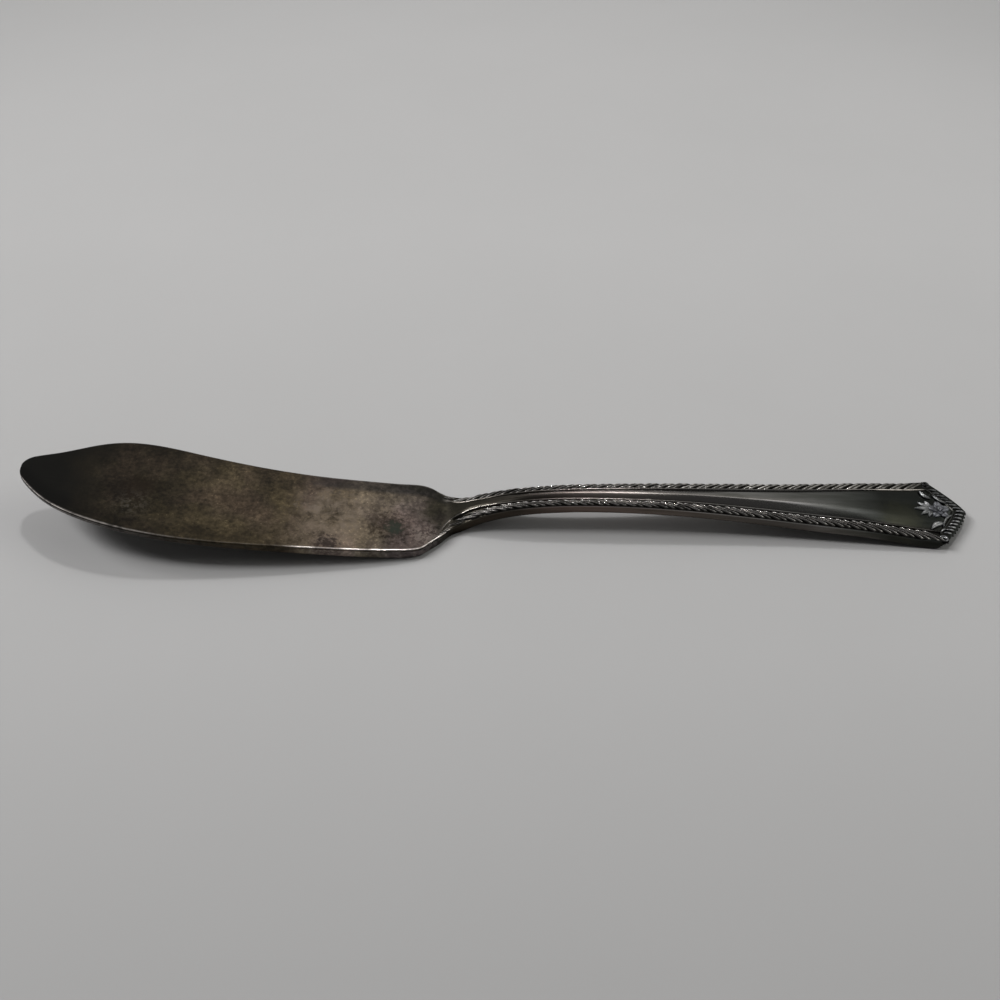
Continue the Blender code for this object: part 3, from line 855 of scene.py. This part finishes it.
def flute():
    across = np.linspace(0, 1, 22)[:, None]
    round_x = half_round(15)[None]
    half = 0.5 * mix(1.0, 0.55, across)
    ends = np.clip(np.sin(math.pi * np.clip(across, 0.01, 0.99)), 0, 1) ** 0.35
    z = dome(round_x) ** 0.8 * ends * mix(0.8, 1.0, across)
    top = np.stack(np.broadcast_arrays(round_x * half, across - 0.5, z), -1)
    return cushion("flute", top, np.clip((z - 0.62) / 0.3, 0, 1), np.clip(1 - z / 0.55, 0, 1), sink=0.12)


def gable_line(inset, left):
    start = corner_u(inset * ROPE_END / GADROON_WIDTH, inset)
    start_y = edge_y(BACK, start) - inset * ROPE_END / GADROON_WIDTH
    return mix(HANDLE_LENGTH - APEX_STRETCH * inset, start, np.abs(left) ** GABLE_POWER), start_y * left


left = np.linspace(-FLUTE_REACH, FLUTE_REACH, 241)
flute_u, flute_y = gable_line(GADROON_WIDTH / 2, np.sign(left) * np.hypot(left, APEX_ROUND))
flute_u = flute_u + 0.1 * bulge(left, 0, 0.08)
outward = np.stack([0.1 + 0 * left, 0.3 * np.tanh(left / 0.15), 0 * left], -1)
flute_path = path_object(
    bend(flute_u, flute_y, -ROPE_HEIGHT), square_up(flute_u) + outward, FLUTE_LENGTH * MM,
    mix(FLUTE_HEIGHT, APEX_HEIGHT, bulge(left, 0, 0.1)) * MM, ahead=(0, 1, 0))
gable_border = new_piece("gable_border", lay_beads(
    "gable_border", flute_path, flute(), FLUTES, FLUTE_WIDTH * MM, gable_metal, 0.3, 5))

# %% [markdown]
# ## Snail scrolls at the corners
# Where rope and gadroons meet, each corner carries a small snail scroll. It is a tapering round bead
# wound in a spiral on a low button. The bead is lofted as a tube along the spiral in numbers, because a
# thick start and a thin end are easier to hold there than on a bevelled curve.

# %% Spiral scrolls
SPIRAL, ROUND = 110, 14
BUTTON_RINGS, BUTTON_POINTS = 7, 33
SNAIL_TURNS = 1.7
SNAIL_SHINE = {BACK: 0.25, BELLY: 0.9}


def snail(name, node, side):
    low, high = (np.array(corner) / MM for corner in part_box(node))
    centre = (low + high) / 2 + (0.15, side * 0.3, 0)
    reach = (high - low)[:2].min() / 2 * 1.12
    turn = np.linspace(0, 1, SPIRAL)
    angle = math.radians(200) + turn * SNAIL_TURNS * 2 * math.pi
    radius = reach * (1 - 0.9 * turn) * 0.84
    thick = reach * mix(0.2, 0.17, turn) * dome((2 * turn - 1) ** 12)
    ring = np.linspace(0, 2 * math.pi, ROUND + 1)[:-1]
    out = np.stack([np.cos(angle), side * np.sin(angle), 0 * angle], -1)
    middle = out * radius[:, None]
    middle[:, 2] = mix(0.02, 0.3, turn)
    tube = middle[:, None] + thick[:, None, None] * (
        np.cos(ring)[None, :, None] * out[:, None] + np.sin(ring)[None, :, None] * np.array([0, 0, 1.0]))
    at = np.arange(SPIRAL * ROUND).reshape(SPIRAL, ROUND)
    faces = list(grid_faces(SPIRAL, ROUND))
    faces += [[at[i, -1], at[i, 0], at[i + 1, 0], at[i + 1, -1]] for i in range(SPIRAL - 1)]
    faces += [list(at[0]), list(at[-1, ::-1])]
    wear = np.tile(np.clip(np.sin(ring) * 1.3 - 0.2, 0, 1) * SNAIL_SHINE[side], SPIRAL)
    dirt = np.tile(np.clip(0.2 - np.sin(ring), 0, 1), SPIRAL)
    share = np.linspace(0, 1, BUTTON_RINGS)[:, None]
    around = np.linspace(0, 2 * math.pi, BUTTON_POINTS)[None]
    button = np.stack(np.broadcast_arrays(
        reach * share * np.cos(around), reach * share * np.sin(around), 0.22 * dome(share) - 0.12), -1)
    faces += list(grid_faces(BUTTON_RINGS, BUTTON_POINTS, first=SPIRAL * ROUND))
    points = np.concatenate([tube.reshape(-1, 3), button.reshape(-1, 3)])
    marks = {"wear": np.concatenate([wear, np.zeros(share.size * around.size)]),
             "dirt": np.concatenate([dirt, np.ones(share.size * around.size)])}
    points = (points + (centre[0], centre[1], high[2] - 0.5)) * MM
    mesh = clean_mesh(name, points, faces, marks)
    mesh.materials.append(gable_metal)
    return new_piece(name, mesh)


scroll_pieces = [snail("snail_far", "scroll_far", BACK), snail("snail_near", "scroll_near", BELLY)]

# %% [markdown]
# ## The blossom
# Five broad petals with a notch lie under five smaller ones around a seeded button. Petals repeat round
# a ring, so the border tree lays them on a small closed path: each petal points outward from it.

# %% Petals and button
def petal(notch, cup):
    along = np.linspace(0, 1, 15)[:, None]
    round_x = half_round(15)[None]
    half = 0.5 * np.sin(math.pi * np.clip(along, 0.03, 0.985) ** 0.62) ** 0.55
    y = -(along - notch * along ** 3 * bulge(round_x, 0, 0.35))
    z = mix(0.35, 1.0, cup * along ** 2 + (1 - cup) * np.sin(math.pi * along) ** 0.5)
    z = z * (1 - 0.35 * bulge(round_x, 0, 0.28)) * np.sqrt(np.clip(1.02 - round_x ** 2, 0, 1))
    z = z * dome(along ** 4) + 0.06 * np.cos(14 * round_x) * np.sin(math.pi * along)
    top = np.stack(np.broadcast_arrays(round_x * half, y, z), -1)
    return cushion("petal", top, np.clip((z - 0.45) / 0.4, 0, 1), np.clip(1 - z / 0.35, 0, 1), sink=0.35)


blossom_low, blossom_high = (np.array(corner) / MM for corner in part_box("blossom"))
blossom_centre = (blossom_low + blossom_high) / 2
BLOSSOM_RADIUS = (blossom_high - blossom_low)[1] / 2 * 1.3
blossom_u = blossom_centre[0] - NECK_X


def petal_ring(name, radius, reach, count, lift, height, turn, notch, cup, spread):
    angle = np.linspace(0, 2 * math.pi, 181)[:-1] + turn
    u = blossom_u + radius * np.cos(angle)
    points = bend(u, radius * np.sin(angle) + blossom_centre[1] - AXIS_Y, lift)
    path = path_object(points, square_up(u), reach * MM, height * MM, closed=True)
    return lay_beads(name, path, petal(notch, cup), count, spread * MM, flower_metal, 0.12, 11)


outer_petals = petal_ring(
    "outer_petals", radius=0.3, reach=BLOSSOM_RADIUS - 0.3, count=5, lift=0.0, height=0.34, turn=0.3,
    notch=0.12, cup=0.35, spread=1.75)
inner_petals = petal_ring(
    "inner_petals", radius=0.22, reach=0.62 * BLOSSOM_RADIUS - 0.22, count=5, lift=0.16, height=0.36,
    turn=0.93, notch=0.08, cup=0.6, spread=1.1)
seeds = petal_ring(
    "seeds", radius=0.06, reach=0.26 * BLOSSOM_RADIUS, count=7, lift=0.34, height=0.3, turn=0.0,
    notch=0.0, cup=0.1, spread=0.3)


def join_meshes(name, meshes, metal):
    work = bmesh.new()
    for mesh in meshes:
        work.from_mesh(mesh)
    joined = bpy.data.meshes.new(name)
    work.to_mesh(joined)
    work.free()
    joined.shade_smooth()
    joined.materials.append(metal)
    return joined


petals = join_meshes("blossom_petals", [outer_petals, inner_petals, seeds], flower_metal)
blossom = new_piece("blossom_petals", petals)
print(f"blossom radius {BLOSSOM_RADIUS:.2f} mm at u {blossom_u:.2f}")

# %% [markdown]
# ## The leaves
# A palmette of five pointed leaflets points down the handle, and on each side of the blossom lies a
# broad veined leaf with one or two narrow ones. The leaflets spring from one short arc, so the tree lays
# them too, longest in the middle. The side leaves are single cushions turned to their places.

# %% Leaf cushions
def leaflet(vein):
    along = np.linspace(0, 1, 25)[:, None]
    across = half_round(17)[None]
    half = 0.5 * np.sin(math.pi * np.clip(along, 0.02, 1) ** 0.75) ** 0.8 * (1 - 0.25 * along)
    ribs = 0.5 + 0.5 * np.cos(2 * math.pi * (5.5 * along + 1.2 * np.abs(across)))
    ends = np.clip(np.sin(math.pi * np.clip(along, 0.04, 0.99)), 0, 1) ** 0.45
    z = np.sqrt(np.clip(1.01 - across ** 2, 0, 1)) * ends
    z = z * (1 - 0.5 * bulge(across, 0, 0.16)) * (1 - vein * (1 - ribs))
    top = np.stack(np.broadcast_arrays(across * half, -along, z), -1)
    return cushion("leaflet", top, np.clip((z - 0.4) / 0.4, 0, 1), np.clip(1 - z / 0.35, 0, 1), sink=0.4)


def palmette(name, base_u, base_y, radius, spread, count, reach, height, width, heading):
    angle = math.radians(heading) + np.linspace(-1, 1, 121) * math.radians(spread)
    u = base_u + radius * np.cos(angle)
    points = bend(u, base_y + radius * np.sin(angle), 0.03)
    side_share = np.abs(np.linspace(-1, 1, 121))
    path = path_object(points, square_up(u), mix(reach[0], reach[1], side_share) * MM, height * MM)
    return new_piece(name, lay_beads(name, path, leaflet(0.12), count, width * MM, leaf_metal, 0.1, 17))


leaf_centre = palmette(
    "palmette", base_u=88.0, base_y=0.1, radius=0.4, spread=64, count=5, reach=(3.1, 1.8), height=0.42,
    width=1.15, heading=180)


def side_leaf(name, start, end, width, height):
    (u0, y0), (u1, y1) = start, end
    length = math.hypot(u1 - u0, y1 - y0)
    mesh = leaflet(0.25)
    flat = np.array([point.co for point in mesh.vertices])
    along = np.array([u1 - u0, y1 - y0]) / length
    u = u0 - flat[:, 1] * (u1 - u0) + flat[:, 0] * width * -along[1]
    y = y0 - flat[:, 1] * (y1 - y0) + flat[:, 0] * width * along[0]
    curl = 0.12 * length * np.sin(math.pi * np.clip(-flat[:, 1], 0, 1))
    u += curl * -along[1] * np.sign(y1)
    y += curl * along[0] * np.sign(y1)
    mesh.vertices.foreach_set("co", bend(u, y, flat[:, 2] * height - 0.02).ravel())
    mesh.update()
    mesh.name = name
    return mesh


def leaf_group(name, *leaves):
    return new_piece(name, join_meshes(name, [side_leaf(name, *leaf) for leaf in leaves], leaf_metal))


leaf_near = leaf_group(
    "leaf_near_side", ((89.4, -3.1), (86.6, -5.0), 1.3, 0.4), ((91.7, -1.0), (89.0, -4.4), 0.42, 0.3),
    ((89.5, -4.6), (88.1, -5.7), 0.42, 0.3))
leaf_far = leaf_group(
    "leaf_far_side", ((88.5, 2.75), (86.7, 4.7), 0.9, 0.4), ((91.4, 1.6), (89.0, 3.9), 0.5, 0.3))
print("leaves:", leaf_centre.name, leaf_near.name, leaf_far.name)

# %% [markdown]
# ## Finish of blade and handle
# The blade is the oldest tarnish: nearly black at the tip, brown and olive over the hump and mauve grey
# by the heel, with stains, flecks and a rubbed arris. The handle is brighter and smoother, and its colour
# paints light and shade over its tarnish: it is lifted along the middle, where the ridge catches the
# lights, and dark at its two ends, where the panel turns away from them. One node tree paints both, with
# a colour ramp along the knife first and stains and wear on top of it.

# %% Ground colour along the knife
plate, tree, shader, place = new_metal("tarnished_plate")
LIFT = 0.7
x = add_node(tree, "ShaderNodeSeparateXYZ", {0: place}).outputs["X"]
ragged = noise(tree, place, 110, 5, 0.6).outputs["Fac"]
shifted = maths(tree, "ADD", span(tree, ragged, 0.3, 0.7, -4 * MM, 4 * MM), x)


def from_to(start, end):
    return span(tree, x, start * MM, end * MM, smooth=True)


def along_knife(value, pins):
    placed = [((u + NECK_X) * MM, colour) for u, colour in pins]
    return ramp(tree, value, cad_low.x, cad_high.x, placed)


def shares_along(pins):
    return along_knife(x, [(u, (share, share, share, 1)) for u, share in pins])


on_blade = from_to(-7.5, -10.5)
on_stem = span(tree, on_blade, 1, 0)
blade_ground = along_knife(shifted, [(u, tone(*colour, lift=LIFT)) for u, colour in (
    (-78, (18, 17, 15)), (-70, (20, 19, 16)), (-62, (38, 33, 25)), (-54, (46, 40, 30)),
    (-46, (60, 52, 40)), (-38, (68, 59, 46)), (-29, (66, 57, 45)), (-20, (87, 76, 66)),
    (-13, (102, 91, 82)), (-7.5, (82, 74, 68)), (-4, (48, 44, 37)))])
# painted light and shade over the handle's tarnish: brighter where the ridge catches the lights, darker at
# both ends
handle_tone_and_painted_light = along_knife(x, [(u, tone(*colour)) for u, colour in (
    (-5, (52, 49, 42)), (2, (72, 68, 61)), (12, (84, 79, 74)), (22, (134, 123, 120)),
    (50, (148, 145, 143)), (66, (130, 129, 128)), (73, (98, 99, 97)), (79, (48, 50, 48)),
    (94, (44, 46, 44)))])
colour = paint(tree, on_blade, handle_tone_and_painted_light, blade_ground)
print(f"blade colours lifted by {LIFT}")

# %% [markdown]
# Clouds of several sizes mottle the blade, with dark pits, pale flecks and a drift of hue between olive
# and mauve. The stem has long streaks instead, as a cloth leaves them.

# %% Clouds, pits, flecks and streaks
OLIVE, MAUVE, STREAK = (0.99, 1.0, 0.87, 1), (1.03, 0.97, 1.02, 1), (0.5, 0.51, 0.47, 1)
cloud = noise(tree, place, 150, 6, 0.68).outputs["Fac"]
blotch = noise(tree, place, 420, 5, 0.65, 0.4).outputs["Fac"]
fine = noise(tree, place, 1300, 4, 0.65).outputs["Fac"]
patch = noise(tree, place, 75, 3, 0.55).outputs["Fac"]
flecks = noise(tree, place, 2400, 3, 0.6).outputs["Fac"]
hue = noise(tree, place, 95, 3, 0.5, 0.3).outputs["Fac"]
pits = add_node(tree, "ShaderNodeTexVoronoi", {"Vector": place, "Scale": 520}).outputs["Distance"]
streaked = add_node(tree, "ShaderNodeMapping", {"Vector": place, "Scale": (60, 900, 900)}).outputs[0]
streak = noise(tree, streaked, 1, 4, 0.6).outputs["Fac"]
depth = 1.0
for pattern, low, high, darkest, palest in (
        (cloud, 0.32, 0.68, 0.52, 1.48), (blotch, 0.36, 0.62, 0.7, 1.27), (patch, 0.4, 0.6, 0.86, 1.14),
        (fine, 0.36, 0.64, 0.64, 1.36), (pits, 0.1, 0.2, 0.68, 1.0), (flecks, 0.62, 0.72, 1.0, 2.0)):
    depth = times(tree, depth, span(tree, pattern, low, high, darkest, palest))
grey = add_node(tree, "ShaderNodeCombineXYZ", {0: depth, 1: depth, 2: depth}).outputs[0]
mottled = times(tree, from_to(-78, -68), on_blade)
for share, over in (
        (mottled, grey), (times(tree, span(tree, hue, 0.46, 0.6), mottled), OLIVE),
        (times(tree, span(tree, hue, 0.5, 0.38), mottled), MAUVE),
        (times(tree, span(tree, streak, 0.36, 0.64, 0.0, 0.8), on_stem), STREAK)):
    colour = paint(tree, share, colour, over, "MULTIPLY")
print("mottled from the tip to the heel, streaked on the stem")

# %% [markdown]
# Single stains come on top: pale speckles by the heel and the belly, dark spots by the heel and one on
# the hump, and an olive patch on the handle by the gable that is a painted reflection. Each is a disc
# with a ragged edge, and its strength is one share or a speckled one.

# %% Stains and a painted reflection
def stain(centre, radius, edge, ragged_by):
    u, y = centre
    spot = add_node(tree, "ShaderNodeMapping", {
        "Vector": place, "Location": (-(u + NECK_X) / radius, -(y + AXIS_Y) / radius, 0),
        "Scale": (1 / (radius * MM), 1 / (radius * MM), 0)})
    away = add_node(tree, "ShaderNodeVectorMath", {0: spot.outputs[0]}, operation="LENGTH").outputs["Value"]
    rough_edge = maths(tree, "ADD", away, span(tree, fine, 0.3, 0.7, -ragged_by, ragged_by))
    return span(tree, rough_edge, 1 + edge, 1 - edge, smooth=True)


def speckled(pattern, low, high, most):
    return span(tree, pattern, low, high, 0, most)


DARKEN = (0.5, 0.47, 0.44, 1)
STAINS_AND_PAINTED_REFLECTION = (
    ((-21.5, -2.2), 5.5, 0.7, 0.6, speckled(blotch, 0.35, 0.6, 0.7), tone(122, 110, 98, LIFT), "MIX"),
    ((-13.6, -3.6), 2.6, 0.6, 0.7, 0.75, DARKEN, "MULTIPLY"),
    ((-10.8, -4.4), 2.8, 0.6, 0.6, 0.85, DARKEN, "MULTIPLY"),
    ((-10.6, -4.5), 1.3, 0.65, 0.8, 0.9, tone(44, 50, 42, LIFT), "MIX"),
    ((-22.2, -9.2), 1.6, 0.5, 0.7, 0.8, tone(40, 33, 31, LIFT), "MIX"),
    ((-56.3, 0.4), 2.6, 0.6, 0.5, 0.7, tone(34, 26, 17, LIFT), "MIX"),
    ((-24.4, -7.1), 5.5, 0.6, 0.9, speckled(fine, 0.5, 0.66, 0.6), tone(124, 112, 102, LIFT), "MIX"),
    ((-4.9, -5.8), 2.6, 0.6, 0.9, speckled(fine, 0.45, 0.62, 0.8), tone(136, 126, 118, LIFT), "MIX"),
    ((-57, -3.7), 3.2, 0.7, 0.9, speckled(fine, 0.5, 0.64, 0.7), tone(88, 84, 78, LIFT), "MIX"),
    # painted reflection: the olive patch on the handle by the gable
    ((81.5, -2.4), 3.4, 0.7, 0.3, 0.3, tone(86, 85, 68), "MIX"),
)
for centre, radius, edge, ragged_by, strength, over, how in STAINS_AND_PAINTED_REFLECTION:
    colour = paint(tree, times(tree, stain(centre, radius, edge, ragged_by), strength), colour, over, how)
print(len(STAINS_AND_PAINTED_REFLECTION), "stains")

# %% [markdown]
# Last come the dark bands along the edges, the rubbed lines and the dirt in the grooves, and then painted
# shade and light on the side walls: they are painted darkest along the handle and paler by the gable and
# the heel.

# %% Edge bands, wear, dirt, and painted shade and light on the walls
BACK_SHADE, BELLY_SHADE = (0.36, 0.39, 0.47, 1), (0.55, 0.54, 0.53, 1)
wall = stored_mark(tree, "wall")
heel_part = times(tree, from_to(-38, -31), on_blade)
back_band = times(tree, span(tree, stored_mark(tree, "from_back"), 3.4, 2.2, smooth=True), heel_part)
colour = paint(tree, times(tree, back_band, 0.9), colour, BACK_SHADE, "MULTIPLY")
tip_part = from_to(-32, -54)
belly_band = times(tree, span(tree, stored_mark(tree, "from_belly"), 4.2, 1.7, smooth=True), tip_part)
colour = paint(tree, times(tree, belly_band, 0.85), colour, BELLY_SHADE, "MULTIPLY")
# wear and the painted highlights on the arris and threads are painted in pale metal
rubbed_and_highlit = times(tree, stored_mark(tree, "wear"), span(tree, blotch, 0.36, 0.6, 0.3, 1.15))
rubbed_and_highlit = times(tree, rubbed_and_highlit, shares_along((
    (-78, 0.2), (-60, 0.28), (-48, 0.1), (-42, 0.03), (-30, 0.06), (-25, 0.85), (-2, 0.9), (8, 0.7),
    (94, 0.7))))
colour = paint(tree, rubbed_and_highlit, colour, tone(214, 206, 200))
colour = paint(tree, times(tree, stored_mark(tree, "dirt"), 0.9), colour, tone(36, 34, 31))
# painted shade and light on the side walls: darker along the handle, lighter by the gable and the heel
for part, over in (
        (on_stem, (0.52, 0.46, 0.41, 1)), (from_to(NECK_X + 34, NECK_X + 54), (0.58, 0.6, 0.62, 1)),
        (from_to(NECK_X + 58, NECK_X + 82), (3.2, 3.3, 3.4, 1)), (heel_part, (2.9, 3.2, 3.5, 1))):
    colour = paint(tree, times(tree, wall, part), colour, over, "MULTIPLY")
tree.links.new(colour, shader.inputs["Base Color"])
tree.links.new(span(tree, on_blade, 0, 1, 1.0, 0.72), shader.inputs["Metallic"])
shader.inputs["Specular IOR Level"].default_value = 0.15
print("edge wear strongest by the heel")

# %% [markdown]
# Tarnish also changes the gloss. Thick tarnish is dull, a rubbed arris is smooth and the handle, which
# is held and wiped, is smoother than the blade. Pits and scratches are a fine bump, too small to model.

# %% Gloss, pits and scratches
BLADE_GLOSS, HANDLE_GLOSS, WORN_GLOSS = (0.42, 0.56), (0.1, 0.2), -0.2
blade_gloss = span(tree, cloud, 0.3, 0.7, *BLADE_GLOSS)
stem_dull = shares_along((
    (0, 0.08), (14, 0.08), (22, 0.2), (30, 0.2), (42, 0.04), (50, 0.0), (74, 0.0), (84, 0.08)))
handle_gloss = maths(tree, "ADD", span(tree, streak, 0.3, 0.7, *HANDLE_GLOSS), stem_dull)
gloss = add_node(tree, "ShaderNodeMix", {0: on_blade, 2: handle_gloss, 3: blade_gloss}).outputs[0]
gloss = maths(tree, "ADD", gloss, span(tree, rubbed_and_highlit, 0, 0.6, 0, WORN_GLOSS))
tree.links.new(gloss, shader.inputs["Roughness"])
stretched = add_node(tree, "ShaderNodeMapping", {
    "Vector": place, "Rotation": (0, 0, 0.35), "Scale": (150, 4200, 1)})
scratch = span(tree, noise(tree, stretched.outputs[0], 1, 2, 0.5).outputs["Fac"], 0.62, 0.74)
relief = maths(tree, "SUBTRACT", fine, times(tree, scratch, 0.5))
bumps = add_node(tree, "ShaderNodeBump", {
    "Height": relief, "Strength": span(tree, on_blade, 0, 1, 0.04, 0.22), "Distance": 0.06 * MM})
tree.links.new(bumps.outputs[0], shader.inputs["Normal"])
skin.materials.append(plate)
print("roughness of the blade", BLADE_GLOSS, "and of the handle", HANDLE_GLOSS, "at its smoothest")

# %% [markdown]
# ## Standing in for the frame
# Each finished piece rides on the knife's one body and stands for the CAD node it dresses.

# %% Ride and replace
for piece, nodes, slot in (
        (knife_skin, ("blade", "handle"), "blade"), (rope_far, ("rope_border_far",), "border"),
        (rope_near, ("rope_border_near",), "border"), (gable_border, ("end_border",), "border"),
        (scroll_pieces[0], ("scroll_far",), "border"), (scroll_pieces[1], ("scroll_near",), "border"),
        (blossom, ("blossom",), "ornament"), (leaf_centre, ("leaf_centre",), "ornament"),
        (leaf_far, ("leaf_far",), "ornament"), (leaf_near, ("leaf_near",), "ornament")):
    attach(piece, "root")
    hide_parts(*nodes)
print("pieces ride on root")

# %% [markdown]
# ## Table
# A wide pale sheet lies under the knife and catches its shadow. It is neutral grey with a very faint
# cloudiness, as a real table top has, and its paint is a little darker toward the near edge and far from
# the knife: a painted falloff of the light.

# %% Floor
TABLE_HALF = 3
TABLE_NEAR, TABLE_FAR = -0.1, 0.22
# painted shade: the greys along the table darken toward its near edge and a little toward its far edge
TABLE_GREYS_AND_PAINTED_FALLOFF = ((-0.084, 160), (-0.03, 172), (0.09, 180), (0.21, 175))
floor_mesh = bpy.data.meshes.new("table_top")
floor_mesh.from_pydata([
    (-TABLE_HALF, -TABLE_HALF, 0), (TABLE_HALF, -TABLE_HALF, 0), (TABLE_HALF, TABLE_HALF, 0),
    (-TABLE_HALF, TABLE_HALF, 0)], [], [(0, 1, 2, 3)])
table_top = new_piece("table_top", floor_mesh)
table_paint = bpy.data.materials.new("table_paint")
table_paint.use_nodes = True
table_tree = table_paint.node_tree
table_shader = table_tree.nodes["Principled BSDF"]
table_place = add_node(table_tree, "ShaderNodeTexCoord").outputs["Object"]
table_y = add_node(table_tree, "ShaderNodeSeparateXYZ", {0: table_place}).outputs["Y"]
table_colour = ramp(table_tree, table_y, TABLE_NEAR, TABLE_FAR, [
    (y, tone(grey + 1, grey, grey)) for y, grey in TABLE_GREYS_AND_PAINTED_FALLOFF])
away = add_node(table_tree, "ShaderNodeVectorMath", {0: table_place}, operation="LENGTH").outputs["Value"]
# painted shade: the table's colour darkens far from the knife, where the light falls off
painted_falloff = span(table_tree, away, 0.18, 0.34, 0.0, 0.2, smooth=True)
table_colour = paint(table_tree, painted_falloff, table_colour, (0, 0, 0, 1))
faint = span(table_tree, noise(table_tree, table_place, 22, 4, 0.6).outputs["Fac"], 0.35, 0.65, 0.0, 0.05)
table_colour = paint(table_tree, faint, table_colour, tone(150, 150, 148))
table_tree.links.new(table_colour, table_shader.inputs["Base Color"])
table_shader.inputs["Roughness"].default_value = 0.6
table_shader.inputs["Specular IOR Level"].default_value = 0.2
floor_mesh.materials.append(table_paint)
print(f"table is {2 * TABLE_HALF} m wide")

# %% [markdown]
# ## Light
# Two windows on the left give the broad shadow, and a small lamp at the back gives the second, sharper
# edge. Large dim panels stand where the far and the right wall would be, because metal shows what is
# around it, and a grey room fills the rest.

# %% Lights and room
def soft_light(name, place, size, power, colour=(1, 1, 1)):
    lamp = bpy.data.lights.new(name, "AREA")
    lamp.shape = "RECTANGLE"
    lamp.size, lamp.size_y = size
    lamp.energy = power
    lamp.color = colour
    made = bpy.data.objects.new(name, lamp)
    bpy.context.scene.collection.objects.link(made)
    made.location = place
    made.rotation_euler = Vector(place).to_track_quat("Z", "Y").to_euler()


SOFT_YELLOW, SOFT_PINK = (0.99, 1, 0.95), (1, 0.9, 0.9)
soft_light("left_window", (-1.685, 0.238, 1.832), (0.5, 1.1), 33.5)
soft_light("left_pane", (-1.83, 0.762, 1.524), (0.4, 0.65), 14.5)
soft_light("back_lamp", (0.175, 0.95, 1.745), (0.14, 0.14), 9)
soft_light("right_wall", (1.97, 0.3, 1.51), (2.0, 1.6), 16, SOFT_YELLOW)
soft_light("back_wall", (0.2, 2.4, 1.5), (4.8, 2.6), 12.5, SOFT_YELLOW)
soft_light("wall_top", (0.2, 2.4, 3.45), (4.8, 0.6), 6.8)
soft_light("doorway", (-0.04, 2.3, 1.3), (0.5, 2.2), 1.7, SOFT_PINK)
ROOM_GREY = (0.075, 0.075, 0.075, 1)
room = bpy.data.worlds.new("room")
room.use_nodes = True
room.node_tree.nodes["Background"].inputs["Color"].default_value = ROOM_GREY
bpy.context.scene.world = room
bpy.context.scene.view_settings.view_transform = "Standard"
print(len(bpy.data.lights), "soft lights and a grey room")

# %% [markdown]
# ## Camera
# The photograph looks down at 47 degrees from 21 cm away, square to the knife.

# %% Camera
ELEVATION = math.radians(47)
DISTANCE = 0.21
AIM_U, AIM_Y = 8.6, 4.66
aim = Vector((AIM_U + NECK_X, AIM_Y + AXIS_Y, 0)) * MM
view = bpy.data.cameras.new("photo_view")
view.sensor_width = 36
view.lens = 40.14
eye = bpy.data.objects.new("photo_view", view)
bpy.context.scene.collection.objects.link(eye)
eye.location = aim + Vector((0, -math.cos(ELEVATION), math.sin(ELEVATION))) * DISTANCE
eye.rotation_euler = (math.radians(90) - ELEVATION, 0, 0)
bpy.context.scene.camera = eye
print(f"camera {eye.location.z:.3f} m above the table")
